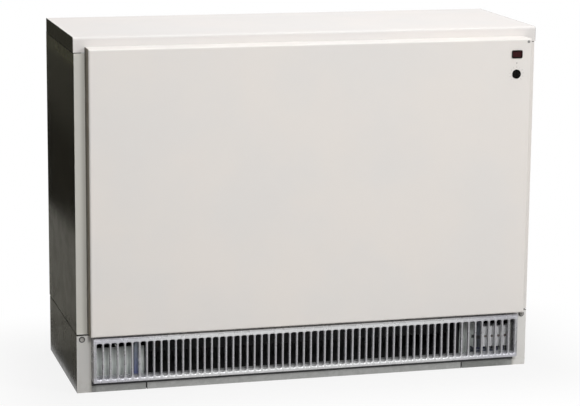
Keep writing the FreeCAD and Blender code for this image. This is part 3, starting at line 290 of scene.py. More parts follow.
# the left strip beside the panel: duller cream, with painted shade in the corner next to the panel
stileLook = {
    "colour": (0.780, 0.765, 0.705),
    "cool": (0.760, 0.749, 0.700),
    "corner": (0.34, 0.325, 0.285),
    "beside": "front_panel",
    "cornerShadeSpan": (0.0015, 0.0120),
    "share": 0.50,
}
# the posts carry painted shade towards the grille; their lap behind it is bare zinc, and a painted shadow
# runs along the joint at their top
postLook = dict(
    stileLook,
    colour=(0.722, 0.708, 0.676),
    cool=(0.704, 0.695, 0.672),
    beside="outlet_grille",
    cornerShadeSpan=(0.0004, 0.0060),
    share=0.55,
    lap=(0.315, 0.320, 0.310),
    jointShade=(0.055, 0.052, 0.044),
    seamDepth=0.0009,
    soft=0.0002,
)


def stileEnamel(place, look, cream):
    colour = creamColour(place, dict(cream, colour=look["colour"], cool=look["cool"]))
    reach = sized(axis(place, "X"))
    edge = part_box(look["beside"])[1].x
    start, end = (edge + step for step in look["cornerShadeSpan"])
    # painted shade: darker in the corner beside the neighbouring part
    colour = blend(spread(reach, start, end, look["share"], 0.0), colour, look["corner"])
    if "lap" in look:
        soft = look["soft"]
        lap = spread(reach, edge - soft, edge + soft, 1.0, 0.0)
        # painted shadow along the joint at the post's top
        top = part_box("base_post_left")[1].z - look["seamDepth"]
        jointShade = spread(axis(place, "Z"), top - soft, top)
        colour = blend(jointShade, blend(lap, colour, look["lap"]), look["jointShade"])
    coat(place, cream, colour)


# the front panel: cream face and top; the side returns are painted dark, with painted shade deepening
# towards the cabinet
panelLook = {
    "returnDepth": 0.0012,
    "faceDepth": 0.0040,
    "near": (0.30, 0.255, 0.180),
    "far": (0.060, 0.052, 0.038),
}


def panelEnamel(place, look, cream):
    low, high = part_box("front_panel")
    inset, face = look["returnDepth"], look["faceDepth"]
    reach, depth = sized(axis(place, "X")), axis(place, "Y")
    sideways = spread(reach, high.x - inset, high.x - inset / 2)
    behind = spread(depth, low.y + face / 2, low.y + face)
    # the returns run from a lighter colour at the front edge to a dark one at the cabinet: painted shade
    edge = blend(spread(depth, low.y, high.y), look["near"], look["far"])
    side = combine(sideways, behind)
    coat(place, cream, blend(side, creamColour(place, cream), edge))


# silver-grey lacquer of the outlet grille: rails and slot sills painted paler as a painted highlight, darker
# towards the grille's ends as painted shade, and painted shade on its end walls
silverLook = {
    "colour": (0.455, 0.455, 0.475),
    "dull": (0.400, 0.400, 0.415),
    "railHighlight": (0.650, 0.653, 0.660),
    "railEndShade": (0.520, 0.520, 0.560),
    "railSpan": (0.24, 0.38),
    "railFoot": 0.0093,
    "footSoft": 0.0015,
    "railHead": 0.0090,
    "headSoft": 0.0008,
    "worn": (0.80, 0.80, 0.82),
    "edgeWearAndSheenShare": 0.45,
    "rough": (0.24, 0.36),
    "metal": 0.45,
    "endShade": (0.070, 0.067, 0.070),
    "endShadeDepth": 0.0085,
    "endShadeStart": 0.0041,
    "endShadeSoft": (0.0003, 0.0001),
    "endShadeWidth": 0.0005,
    "outerShare": 0.6,
    "cloudSize": 0.02,
    "flakeSize": 0.0005,
    "flakeDepth": 0.00002,
    "edgeWidth": 0.0008,
}


def silverLacquer(place, look):
    low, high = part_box("outlet_grille")
    reach, depth, level = sized(axis(place, "X")), axis(place, "Y"), axis(place, "Z")
    cloud = patches(place, look["cloudSize"], 5, 0.35, 0.68, 0.0, 0.8)
    colour = blend(cloud, look["colour"], look["dull"])
    # the paler edge colour is partly wear, partly a painted highlight
    worn = combine(edgeMask(place, look["edgeWidth"]), look["edgeWearAndSheenShare"])
    colour = blend(worn, colour, look["worn"])
    # the rails and the ledges at the slots' feet are painted paler, a painted highlight; towards the
    # grille's ends the rails are painted darker, as shade
    foot, head = low.z + look["railFoot"], high.z - look["railHead"]
    lower = spread(level, foot, foot + look["footSoft"], 1.0, 0.0)
    upper = spread(level, head - look["headSoft"], head + look["headSoft"])
    ending = spread(reach, *look["railSpan"])
    railHighlight = blend(ending, look["railHighlight"], look["railEndShade"])
    colour = blend(combine(lower, upper, "MAXIMUM"), colour, railHighlight)
    # painted shade: the end walls are painted dark inside and out
    start, (wide, narrow) = high.x - look["endShadeStart"], look["endShadeSoft"]
    inside = combine(
        spread(reach, start - wide, start - narrow),
        spread(reach, start + wide, start + look["endShadeWidth"], 1.0, 0.0),
    )
    outside = spread(reach, high.x - wide, high.x - narrow, 0.0, look["outerShare"])
    behind = spread(depth, low.y + look["endShadeDepth"] / 2, low.y + look["endShadeDepth"])
    endShaded = combine(combine(inside, outside, "MAXIMUM"), behind)
    setShader(
        place,
        colour=blend(endShaded, colour, look["endShade"]),
        metal=spread(endShaded, 0.0, 1.0, look["metal"], 0.0),
        rough=spread(cloud, 0.0, 0.8, *look["rough"]),
        normal=bump(noise(place, look["flakeSize"], 0), look["flakeDepth"], 0.6),
    )


# zinc-coated sheet with its spangle
zincSheetLook = {
    "pale": (0.55, 0.575, 0.575),
    "dark": (0.45, 0.475, 0.475),
    "stain": (0.58, 0.59, 0.57),
    "stainSize": 0.07,
    "spangleSize": 0.006,
    "spangleDrift": 0.006,
    "spangleDepth": 0.00003,
    "metal": 0.55,
    "rough": (0.34, 0.52),
}
# the plates in the two bays: pale, dull zinc painted lighter low down, with painted shade darkening them
# towards the deck
bayLook = dict(
    zincSheetLook,
    pale=(0.755, 0.800, 0.770),
    dark=(0.690, 0.730, 0.705),
    stain=(0.735, 0.755, 0.725),
    upperShade=(0.270, 0.280, 0.270),
    upperShadeHeight=(0.048, 0.086),
    metal=0.2,
    rough=(0.45, 0.60),
)
# the deck's front edge is painted black: painted shade in the gaps above the base
deckLook = dict(zincSheetLook, frontShade=(0.060, 0.059, 0.056), frontShadeDepth=0.003, frontShadeSoft=0.0005)


def zincTone(place, look):
    tree = place.id_data
    wobble = noise(place, look["spangleSize"], 2)
    inputs = {0: wobble, 3: look["spangleDrift"]}
    drift = addNode(tree, "ShaderNodeVectorMath", inputs, operation="SCALE").outputs[0]
    shifted = addNode(tree, "ShaderNodeVectorMath", {0: place, 1: drift}, operation="ADD").outputs[0]
    cells = addNode(tree, "ShaderNodeTexVoronoi", {"Vector": shifted, "Scale": 1 / look["spangleSize"]})
    tone = addNode(tree, "ShaderNodeSeparateColor", {"Color": cells.outputs["Color"]}).outputs["Red"]
    stain = patches(place, look["stainSize"], 4, 0.55, 0.8, 0.0, 0.5)
    return tone, blend(stain, blend(tone, look["dark"], look["pale"]), look["stain"])


def zincSheet(place, look):
    tone, colour = zincTone(place, look)
    metal = look["metal"]
    # painted shade: darker towards the top of the bay
    if "upperShade" in look:
        upperShade = spread(axis(place, "Z"), *look["upperShadeHeight"])
        colour = blend(upperShade, colour, look["upperShade"])
    # painted shade: the deck's front edge is painted black
    if "frontShade" in look:
        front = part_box("base_deck")[0].y + look["frontShadeDepth"]
        behind = spread(axis(place, "Y"), front - look["frontShadeSoft"], front)
        colour = blend(behind, look["frontShade"], colour)
        metal = combine(behind, metal)
    setShader(
        place,
        colour=colour,
        metal=metal,
        rough=spread(tone, 0.0, 1.0, *look["rough"]),
        normal=bump(tone, look["spangleDepth"], 0.5),
    )


# the floor plates: bare sheet on the plinth edge, black primer behind it
plinthLook = dict(
    zincSheetLook,
    pale=(0.46, 0.465, 0.455),
    dark=(0.40, 0.405, 0.395),
    stain=(0.36, 0.36, 0.345),
    primer=(0.016, 0.016, 0.018),
    spangleSize=0.007,
    spangleDepth=0.00002,
    metal=0.35,
    rough=(0.42, 0.8),
    frontDepth=0.0017,
    seamDepth=0.0003,
    joint=(0.050, 0.050, 0.048),
    jointWidth=0.0012,
)
# the left and right plates are darker copies of the same sheet: painted shade
plinthPaintedShades = {
    "base_floor_centre": {},
    "base_floor_left": {"pale": (0.345, 0.350, 0.340), "dark": (0.300, 0.305, 0.296)},
    "base_floor_right": {"pale": (0.282, 0.290, 0.276), "dark": (0.240, 0.248, 0.235)},
}


def plinthSheet(place, look):
    tone, colour = zincTone(place, look)
    soft, width = look["seamDepth"], look["jointWidth"]
    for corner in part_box("base_floor_centre"):
        away = sized(combine(axis(place, "X"), -corner.x, "ADD"))
        colour = blend(spread(away, width - soft, width, 1.0, 0.0), colour, look["joint"])
    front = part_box("base_floor_centre")[0].y + look["frontDepth"]
    behind = spread(axis(place, "Y"), front - soft, front)
    setShader(
        place,
        colour=blend(behind, colour, look["primer"]),
        metal=spread(behind, 0.0, 1.0, look["metal"], 0.0),
        rough=spread(behind, 0.0, 1.0, *look["rough"]),
        normal=bump(tone, look["spangleDepth"], 0.4),
    )


# heat-proof black on the duct sheets
ductLook = {
    "colour": (0.028, 0.028, 0.031),
    "ash": (0.058, 0.057, 0.055),
    "ashSize": 0.025,
    "grain": 0.0008,
    "grainDepth": 0.00004,
    "rough": (0.62, 0.85),
}


def ductBlack(place, look):
    ash = patches(place, look["ashSize"], 6, 0.4, 0.75)
    setShader(
        place,
        colour=blend(ash, look["colour"], look["ash"]),
        rough=spread(ash, 0.0, 1.0, *look["rough"]),
        normal=bump(noise(place, look["grain"], 2), look["grainDepth"]),
        specular=0.25,
    )


# pressed mineral board round the core
boardLook = {
    "colour": (0.70, 0.66, 0.58),
    "fibre": (0.55, 0.50, 0.41),
    "fibreSize": 0.006,
    "fibreShape": (1, 1, 7),
    "fibreDepth": 0.0006,
    "fleck": (0.42, 0.36, 0.28),
    "fleckSize": 0.0022,
}


def mineralBoard(place, look):
    fibres = noise(stretched(place, look["fibreShape"]), look["fibreSize"], 6)
    fleck = patches(place, look["fleckSize"], 2, 0.66, 0.78, 0.0, 0.7)
    colour = blend(spread(fibres, 0.35, 0.7), look["colour"], look["fibre"])
    setShader(
        place,
        colour=blend(fleck, colour, look["fleck"]),
        rough=0.95,
        normal=bump(fibres, look["fibreDepth"], 0.8),
        specular=0.2,
    )


# dense iron-oxide storage brick
brickLook = {
    "colour": (0.115, 0.085, 0.070),
    "rust": (0.21, 0.12, 0.075),
    "rustSize": 0.05,
    "grit": 0.0035,
    "gritDepth": 0.0005,
    "pit": (0.035, 0.028, 0.025),
    "pitShare": 0.7,
    "pitDepth": 0.0006,
    "pitsPerMetre": 260.0,
}


def oxideBrick(place, look):
    inputs = {"Vector": place, "Scale": look["pitsPerMetre"]}
    pits = addNode(place.id_data, "ShaderNodeTexVoronoi", inputs).outputs["Distance"]
    rust = patches(place, look["rustSize"], 5, 0.38, 0.7)
    hollow = spread(pits, 0.10, 0.32, 1.0, 0.0)
    pitted = combine(hollow, look["pitShare"])
    grit = bump(noise(place, look["grit"], 8), look["gritDepth"])
    setShader(
        place,
        colour=blend(pitted, blend(rust, look["colour"], look["rust"]), look["pit"]),
        rough=0.92,
        normal=bump(pits, look["pitDepth"], 0.6, grit),
        specular=0.25,
    )


# bare metals share one recipe: fine streaks, tarnish in patches
metalGrain = {"streakSize": 0.004, "streakDepth": 0.00002, "patchSize": 0.014}
metalKeys = ("colour", "tarnish", "metal", "rough", "streak")
bareMetals = {
    "element_steel": ((0.30, 0.28, 0.27), (0.17, 0.12, 0.095), 0.8, (0.42, 0.62), (0.1, 1, 1)),
    "brass": ((0.68, 0.50, 0.21), (0.43, 0.31, 0.15), 1.0, (0.25, 0.45), (0.1, 1, 1)),
    "fan_aluminium": ((0.66, 0.67, 0.68), (0.50, 0.51, 0.52), 1.0, (0.32, 0.50), (0.06, 1, 1)),
    "dull_steel": ((0.44, 0.43, 0.41), (0.22, 0.21, 0.19), 0.8, (0.40, 0.60), (1, 1, 1)),
    "bimetal": ((0.030, 0.025, 0.021), (0.016, 0.014, 0.013), 0.8, (0.45, 0.65), (1, 1, 0.1)),
    "bright_steel": ((0.56, 0.56, 0.55), (0.36, 0.35, 0.32), 1.0, (0.24, 0.42), (1, 1, 1)),
}


def bareMetal(place, look):
    streak = noise(stretched(place, look["streak"]), metalGrain["streakSize"], 4)
    patch = patches(place, metalGrain["patchSize"], 5, 0.40, 0.72)
    setShader(
        place,
        colour=blend(patch, look["colour"], look["tarnish"]),
        metal=look["metal"],
        rough=spread(streak, 0.25, 0.75, *look["rough"]),
        normal=bump(streak, metalGrain["streakDepth"], 0.6),
    )


# stacked motor laminations
laminateLook = {
    "colour": (0.17, 0.17, 0.18),
    "gap": (0.05, 0.05, 0.052),
    "rust": (0.16, 0.09, 0.06),
    "rustSize": 0.009,
    "sheet": 0.0007,
    "bandLength": 0.314,
    "gapDepth": 0.0002,
    "rough": (0.7, 0.45),
}


def motorLaminate(place, look):
    inputs = {"Vector": place, "Scale": look["bandLength"] / (math.tau * look["sheet"])}
    leaves = addNode(place.id_data, "ShaderNodeTexWave", inputs, bands_direction="X").outputs["Fac"]
    rust = patches(place, look["rustSize"], 5, 0.5, 0.75, 0.0, 0.5)
    setShader(
        place,
        colour=blend(rust, blend(leaves, look["gap"], look["colour"]), look["rust"]),
        metal=0.6,
        rough=spread(leaves, 0.0, 1.0, *look["rough"]),
        normal=bump(leaves, look["gapDepth"]),
    )


# mouldings: fine grain, a little gloss change, one tint blotch
mouldKeys = ("colour", "tint", "worn", "rough", "grain", "grainDepth", "edgeWidth", "specular")
blackShades = ((0.0040, 0.0036, 0.0031), (0.0065, 0.0060, 0.0053), (0.022, 0.021, 0.019))
rubberShades = ((0.082, 0.083, 0.086), (0.098, 0.099, 0.102), (0.140, 0.140, 0.140))
plugShades = ((0.20, 0.20, 0.195), (0.25, 0.25, 0.24), (0.34, 0.34, 0.33))
redShades = ((0.034, 0.0062, 0.0078), (0.024, 0.0052, 0.0064), (0.11, 0.022, 0.026))
whiteShades = ((0.935, 0.94, 0.955), (0.90, 0.905, 0.92), (0.89, 0.89, 0.90))
mouldings = {
    "black_plastic": (*blackShades, (0.45, 0.58), 0.0004, 0.00003, 0.0003, 0.05),
    "strip_rubber": (*rubberShades, (0.70, 0.85), 0.0006, 0.00005, 0.0004, 0.15),
    "plug_grey": (*plugShades, (0.45, 0.58), 0.0004, 0.00003, 0.0003, 0.30),
    "red_plastic": (*redShades, (0.30, 0.40), 0.0012, 0.00002, 0.0003, 0.10),
    "white_plastic": (*whiteShades, (0.32, 0.45), 0.0006, 0.00002, 0.0004, 0.50),
}
blotchSize = 0.008


def moulding(place, look):
    blotch = patches(place, blotchSize, 4, 0.4, 0.7)
    worn = combine(edgeMask(place, look["edgeWidth"]), 0.5)
    colour = blend(blotch, look["colour"], look["tint"])
    if "lowColour" in look:
        low = spread(axis(place, "Z"), *look["lowHeight"], 1.0, 0.0)
        colour = blend(low, colour, look["lowColour"])
    setShader(
        place,
        colour=blend(worn, colour, look["worn"]),
        rough=spread(blotch, 0.0, 1.0, *look["rough"]),
        normal=bump(noise(place, look["grain"], 2), look["grainDepth"]),
        specular=look["specular"],
    )


# braided sleeve on the control loom
sleeveLook = {
    "colour": (0.060, 0.060, 0.066),
    "gap": (0.016, 0.016, 0.018),
    "strand": 0.0012,
    "bandStep": 0.05,
    "strandDepth": 0.0003,
    "lean": 0.78,
}


def braidedSleeve(place, look):
    tree, strands = place.id_data, []
    for lean in (-look["lean"], look["lean"]):
        turn = addNode(tree, "ShaderNodeMapping", {"Vector": place, "Rotation": (lean, lean, 0)})
        inputs = {"Vector": turn.outputs["Vector"], "Scale": look["bandStep"] / look["strand"]}
        strands.append(addNode(tree, "ShaderNodeTexWave", inputs, bands_direction="Z").outputs["Fac"])
    crossing = combine(*strands, "MAXIMUM")
    colour = blend(crossing, look["gap"], look["colour"])
    setShader(place, colour=colour, rough=0.7, normal=bump(crossing, look["strandDepth"]))


finishes = {
    "cream_enamel": makeFinish("creamEnamel", creamEnamel, creamLook),
    "umber_enamel": makeFinish("umberEnamel", umberEnamel, umberLook),
    "grille_silver": makeFinish("silverLacquer", silverLacquer, silverLook),
    "galvanised_sheet": makeFinish("zincSheet", zincSheet, zincSheetLook),
    "duct_black": makeFinish("ductBlack", ductBlack, ductLook),
    "insulation_board": makeFinish("mineralBoard", mineralBoard, boardLook),
    "storage_brick": makeFinish("oxideBrick", oxideBrick, brickLook),
    "motor_iron": makeFinish("motorLaminate", motorLaminate, laminateLook),
    "loom_sleeve": makeFinish("braidedSleeve", braidedSleeve, sleeveLook),
}
for slot, values in bareMetals.items():
    finishes[slot] = makeFinish("bare_" + slot, bareMetal, dict(zip(metalKeys, values)))
for slot, values in mouldings.items():
    finishes[slot] = makeFinish("moulded_" + slot, moulding, dict(zip(mouldKeys, values)))

capFinish = makeFinish("capEnamel", capEnamel, capLook, lidLook, umberLook)
postFinish = makeFinish("postEnamel", stileEnamel, postLook, creamLook)
bayFinish = makeFinish("baySheet", zincSheet, bayLook)
ownFinish = {
    "left_bay_baffle": bayFinish,
    "terminal_bracket": bayFinish,
    "base_post_left": postFinish,
    "base_post_right": postFinish,
    "front_stile_left": makeFinish("stileEnamel", stileEnamel, stileLook, creamLook),
    "top_cover": makeFinish("lidEnamel", creamEnamel, lidLook),
    "lid_end_cap_left": capFinish,
    "lid_end_cap_right": capFinish,
    "front_panel": makeFinish("panelEnamel", panelEnamel, panelLook, creamLook),
    "bimetal_strip": finishes["bimetal"],
    "base_screws": finishes["dull_steel"],
    "panel_plug": finishes["plug_grey"],
    "base_deck": makeFinish("deckSheet", zincSheet, deckLook),
}
for node, shade in plinthPaintedShades.items():
    ownFinish[node] = makeFinish("plinthSheet", plinthSheet, dict(plinthLook, **shade))
for row in frame["record"]["subparts"]:
    finish = ownFinish.get(row["node"], finishes[row["material_slot"]])
    for holder in nodes[row["node"]].material_slots:
        holder.material = finish
print("finishes made,", len({*finishes.values(), *ownFinish.values()}))


# mesh helpers
def newPiece(name, mesh, finish=None, smoothAngle=35):
    if finish is not None:
        mesh.materials.clear()
        mesh.materials.append(finish)
    for face in mesh.polygons:
        face.use_smooth = True
    mesh.set_sharp_from_angle(angle=math.radians(smoothAngle))
    piece = bpy.data.objects.new(name, mesh)
    scene.collection.objects.link(piece)
    return piece


def meshFrom(form, name):
    bmesh.ops.remove_doubles(form, verts=form.verts, dist=1e-6)
    bmesh.ops.recalc_face_normals(form, faces=form.faces)
    mesh = bpy.data.meshes.new(name)
    form.to_mesh(mesh)
    form.free()
    return mesh


def wrapRows(form, rows, closed):
    # quads between neighbouring rows of points, each row as long as the next
    made = [[form.verts.new(point) for point in row] for row in rows]
    for near, far in zip(made, made[1:]):
        count = len(near)
        for index in range(count if closed else count - 1):
            after = (index + 1) % count
            form.faces.new((near[index], near[after], far[after], far[index]))
    return made


# copies of one piece along a line, each turned about Y by one step more than the last
def makeCopyTree():
    tree = bpy.data.node_groups.new("copiesOfPiece", "GeometryNodeTree")
    sockets = {
        "Geometry": "Geometry",
        "Piece": "Object",
        "Count": "Int",
        "Start": "Vector",
        "Step": "Vector",
        "First Turn": "Float",
        "Turn": "Float",
        "Finish": "Material",
    }
    for label, kind in sockets.items():
        tree.interface.new_socket(label, in_out="INPUT", socket_type="NodeSocket" + kind)
    tree.interface.new_socket("Geometry", in_out="OUTPUT", socket_type="NodeSocketGeometry")
    given = tree.nodes.new("NodeGroupInput").outputs
    inputs = {"Count": given["Count"], "Start Location": given["Start"], "Offset": given["Step"]}
    line = addNode(tree, "GeometryNodeMeshLine", inputs, mode="OFFSET").outputs["Mesh"]
    number = addNode(tree, "GeometryNodeInputIndex").outputs[0]
    angle = combine(combine(number, given["Turn"]), given["First Turn"], "ADD")
    turn = addNode(tree, "ShaderNodeCombineXYZ", {"Y": angle}).outputs[0]
    piece = addNode(tree, "GeometryNodeObjectInfo", {"Object": given["Piece"]}).outputs["Geometry"]
    inputs = {"Points": line, "Instance": piece, "Rotation": turn}
    placed = addNode(tree, "GeometryNodeInstanceOnPoints", inputs).outputs["Instances"]
    real = addNode(tree, "GeometryNodeRealizeInstances", {"Geometry": placed}).outputs[0]
    merged = addNode(tree, "GeometryNodeMergeByDistance", {"Geometry": real, "Distance": 1e-6}).outputs[0]
    painted = addNode(tree, "GeometryNodeSetMaterial", {"Geometry": merged, "Material": given["Finish"]})
    tree.links.new(painted.outputs[0], tree.nodes.new("NodeGroupOutput").inputs[0])
    return tree


copyTree = makeCopyTree()


def plainMesh(carrier):
    # what an object evaluates to; the object itself goes
    scene.collection.objects.link(carrier)
    bpy.context.view_layer.update()
    settled = carrier.evaluated_get(bpy.context.evaluated_depsgraph_get())
    mesh = bpy.data.meshes.new_from_object(settled)
    bpy.data.objects.remove(carrier)
    return mesh


def copiesOf(mesh, finish, count, start, step, firstTurn=0.0, turn=0.0):
    pattern = bpy.data.objects.new(mesh.name, mesh)
    carrier = bpy.data.objects.new("carrier", bpy.data.meshes.new("carrier"))
    modifier = carrier.modifiers.new("nodes", "NODES")
    modifier.node_group = copyTree
    values = {
        "Piece": pattern,
        "Count": count,
        "Start": start,
        "Step": step,
        "First Turn": firstTurn,
        "Turn": turn,
        "Finish": finish,
    }
    for item in copyTree.interface.items_tree:
        if item.in_out == "INPUT" and item.name in values:
            modifier[item.identifier] = values[item.name]
    made = plainMesh(carrier)
    bpy.data.objects.remove(pattern)
    return made


# outlet grille: one slot cell with a rolled rim, repeated along the face
grilleFace = {
    "slots": 60,
    "endLand": 0.0109,
    "slotWidth": 0.0102,
    "slotFoot": 0.0076,
    "slotHead": 0.0090,
    "slotRound": 0.0032,
    "rimRound": 0.0016,
    "footRound": 0.0030,
    "sillRise": 0.0026,
    "faceDepth": 0.0070,
    "lip": 0.0034,
    "lipStep": 0.0014,
    "wall": 0.0015,
    "edgeRound": 0.0012,
    "ledgeDrop": 0.0003,
    "cornerSteps": 4,
    "roundSteps": 3,
}


def slotCorners(look, foot, head):
    # each point of an outline: its corner's signs and centre, and its angle there
    inset = look["slotRound"]
    quarter = math.pi / 2
    points = []
    for corner, (right, up) in enumerate(((1, 1), (-1, 1), (-1, -1), (1, -1))):
        x = right * (look["slotWidth"] / 2 - inset)
        z = head - inset if up > 0 else foot + inset
        for index in range(look["cornerSteps"] + 1):
            points.append((right, up, x, z, corner * quarter + quarter / look["cornerSteps"] * index))
    return points


def slotLoop(look, foot, head, turn, y):
    # one outline of the slot: turn 0 is the rim's front, a quarter turn its wall
    loop = []
    for right, up, x, z, angle in slotCorners(look, foot, head):
        lower = max(0.0, -math.sin(angle)) ** 2
        rim = look["rimRound"] + (look["footRound"] - look["rimRound"]) * lower
        radius = look["slotRound"] + rim * (1 - math.sin(turn))
        depth = y + rim * (1 - math.cos(turn))
        loop.append((x + radius * math.cos(angle), depth, z + radius * math.sin(angle)))
    return loop


def cellLoop(look, foot, head, pitch, low, high, y):
    # the cell's border, point for point beside the slot's outline
    loop = []
    for right, up, x, z, angle in slotCorners(look, foot, head):
        side, border = right * pitch / 2, high if up > 0 else low
        across, rise = abs(math.cos(angle)), abs(math.sin(angle))
        if across >= rise - 1e-9:
            loop.append((side, y, z + (border - z) * min(1, rise / across)))
        else:
            loop.append((x + (side - x) * across / rise, y, border))
    return loop


def slotCell(look, low, high, pitch):
    front, back = low.y, high.y
    foot, head = low.z + look["slotFoot"], high.z - look["slotHead"]
    face, wall, rolled = front + look["faceDepth"], look["wall"], look["edgeRound"]
    ledge = foot - look["ledgeDrop"]
    step = look["lipStep"]
    form = bmesh.new()
    loops = [cellLoop(look, foot, head, pitch, low.z + look["lip"], high.z - look["lip"], front)]
    turns = [math.pi / 2 * count / look["roundSteps"] for count in range(look["roundSteps"] + 1)]
    for turn in turns:
        loops.append(slotLoop(look, foot, head, turn, front))
    angles = [point[-1] for point in slotCorners(look, foot, head)]
    sill = [look["sillRise"] * max(0.0, -math.sin(angle)) ** 2 for angle in angles]
    loops.append([(x, face, z + rise) for (x, y, z), rise in zip(loops[-1], sill)])
    loops.append(cellLoop(look, foot, head, pitch, ledge, high.z - wall, face))
    wrapRows(form, loops, closed=True)
    for up in (1, -1):
        outer = high.z if up > 0 else low.z
        rim = outer - up * look["lip"]
        edge = [point[0] for point in loops[0] if abs(point[2] - rim) < 1e-9]
        profile = [(front + step * (1 - math.cos(turn)), rim + up * step * math.sin(turn)) for turn in turns]
        for turn in turns:
            rise = rolled * (1 - math.sin(turn))
            profile.append((front + step + rolled * (1 - math.cos(turn)), outer - up * rise))
        inner = high.z - wall if up > 0 else ledge
        profile += [(back, outer), (back, inner), (face, inner)]
        wrapRows(form, [[(x, y, z) for x in edge] for y, z in profile], closed=False)
    return meshFrom(form, "slotCell")


def addFrontBlock(form, low, high, rounding, steps, square=None):
    # a block whose front edges are rounded, but not the one at the X called square
    corners = bmesh.ops.create_cube(form, size=1)["verts"]
    for corner in corners:
        corner.co = [far if way > 0 else near for way, near, far in zip(corner.co, low, high)]
    own = set(corners)
    rolled = []
    for edge in form.edges:
        middle = (edge.verts[0].co + edge.verts[1].co) / 2
        if own.issuperset(edge.verts) and abs(middle.y - low[1]) < 1e-6:
            if square is None or abs(middle.x - square) > 1e-6:
                rolled.append(edge)
    bmesh.ops.bevel(form, geom=rolled, offset=rounding, segments=steps, affect="EDGES", profile=0.5)


def makeGrille(look):
    low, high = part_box("outlet_grille")
    pitch = (high.x - low.x - 2 * look["endLand"]) / (look["slots"] - 1)
    first = low.x + look["endLand"]
    finish = finishes["grille_silver"]
    cell = slotCell(look, low, high, pitch)
    mesh = copiesOf(cell, finish, look["slots"], (first, 0.0, 0.0), (pitch, 0.0, 0.0))
    form = bmesh.new()
    form.from_mesh(mesh)
    bmesh.ops.holes_fill(form, edges=[edge for edge in form.edges if edge.is_boundary], sides=0)
    # the plain lands beyond the first and last slots
    front, land = low.y + look["lipStep"], abs(first) + pitch / 2
    for left, right, inner in ((low.x, -land, -land), (land, high.x, land)):
        near, far = (left, front, low.z), (right, high.y, high.z)
        addFrontBlock(form, near, far, look["edgeRound"], look["roundSteps"], inner)
    bmesh.ops.recalc_face_normals(form, faces=form.faces)
    form.to_mesh(mesh)
    form.free()
    piece = newPiece("grille_front", mesh, finish, 40)
    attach(piece, "cabinet")
    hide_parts("outlet_grille")


makeGrille(grilleFace)

# soft black strip that the grille's foot rests against: a dark piece standing in for the grille's shadow on
# the plinth
footShadeStrip = {"drop": 0.0105, "thickness": 0.0040, "rounding": 0.0012, "roundSteps": 3}


def makeFootShadeStrip(look):
    low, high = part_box("outlet_grille")
    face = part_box("base_floor_centre")[0].y
    form = bmesh.new()
    near, far = (low.x, face - look["thickness"], low.z - look["drop"]), (high.x, face, low.z)
    addFrontBlock(form, near, far, look["rounding"], look["roundSteps"])
    piece = newPiece("grille_foot_strip", meshFrom(form, "grille_foot_strip"), finishes["strip_rubber"])
    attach(piece, "cabinet")


makeFootShadeStrip(footShadeStrip)
print("outlet grille made")

# more mesh helpers: prisms along Y, and round leads
screwSides, ringSides = 24, 32


def addPrism(form, outline, near, far):
    rows = [[(x, y, z) for x, z in outline] for y in (near, far)]
    for row in wrapRows(form, rows, closed=True):
        form.faces.new(row)


def arc(radius, start, span, steps):
    turns = [start + span * step / steps for step in range(steps + 1)]
    return [(radius * math.cos(turn), radius * math.sin(turn)) for turn in turns]


def roundOutline(radius, steps):
    return arc(radius, 0.0, math.tau, steps)[:-1]


def addSlottedHead(form, look):
    # a screw head that faces -Y, with its driver slot
    radius, floor = look["radius"], look["height"] - look["slotDepth"]
    addPrism(form, roundOutline(radius, screwSides), 0.0, -floor)
    lean = math.asin(look["slotWidth"] / 2 / radius)
    for side in (0.0, math.pi):
        outline = arc(radius, side + lean, math.pi - 2 * lean, screwSides // 2)
        addPrism(form, outline, -floor, -look["height"])


def makeLead(name, look, finish):
    data = bpy.data.curves.new(name, "CURVE")
    data.dimensions = "3D"
    data.bevel_depth = look["radius"]
    data.bevel_resolution = 5
    data.resolution_u = 8
    data.use_fill_caps = True
    spline = data.splines.new("NURBS")
    spline.points.add(len(look["points"]) - 1)
    for point, place in zip(spline.points, look["points"]):
        point.co = (*place, 1)
    spline.order_u = 3
    spline.use_endpoint_u = True
    form = bmesh.new()
    form.from_mesh(plainMesh(bpy.data.objects.new(name + "Guide", data)))
    piece = newPiece(name, meshFrom(form, name), finish, 50)
    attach(piece, "cabinet")


# leads in the two bays behind the grille
sheathLook = {
    "worn": (0.2, 0.2, 0.2),
    "rough": (0.40, 0.55),
    "grain": 0.0010,
    "grainDepth": 0.00003,
    "edgeWidth": 0.0003,
    "specular": 0.35,
}
sheathColours = {
    "blue": ((0.280, 0.318, 0.390), (0.340, 0.372, 0.410)),
    "slate": ((0.125, 0.140, 0.165), (0.150, 0.165, 0.190)),
    "navy": ((0.036, 0.040, 0.085), (0.050, 0.054, 0.105)),
    "umber": ((0.220, 0.207, 0.213), (0.255, 0.240, 0.245)),
}
sheathFades = {"blue": {"lowColour": (0.155, 0.180, 0.370), "lowHeight": (0.020, 0.085)}}
bayLeads = {
    "blue_sleeve": {
        "colour": "blue",
        "radius": 0.0055,
        "points": (
            (-0.3310, -0.1335, 0.0015), (-0.3310, -0.1335, 0.020),
            (-0.3300, -0.1330, 0.045), (-0.3308, -0.1333, 0.080),
            (-0.3300, -0.1330, 0.111),
        ),
    },
    "earth_lead": {
        "colour": "umber",
        "radius": 0.0056,
        "points": (
            (0.4250, -0.1115, 0.0015), (0.4250, -0.1115, 0.030),
            (0.4243, -0.1115, 0.065), (0.4250, -0.1115, 0.111),
        ),
    },
    "supply_lead": {
        "colour": "slate",
        "radius": 0.0045,
        "points": (
            (0.3630, -0.1085, 0.0015), (0.3625, -0.1085, 0.020),
            (0.3600, -0.1080, 0.052), (0.3600, -0.1080, 0.078),
            (0.3610, -0.1085, 0.111),
        ),
    },
}
terminalPoles = {"first": 0.36955, "pitch": 0.0135}
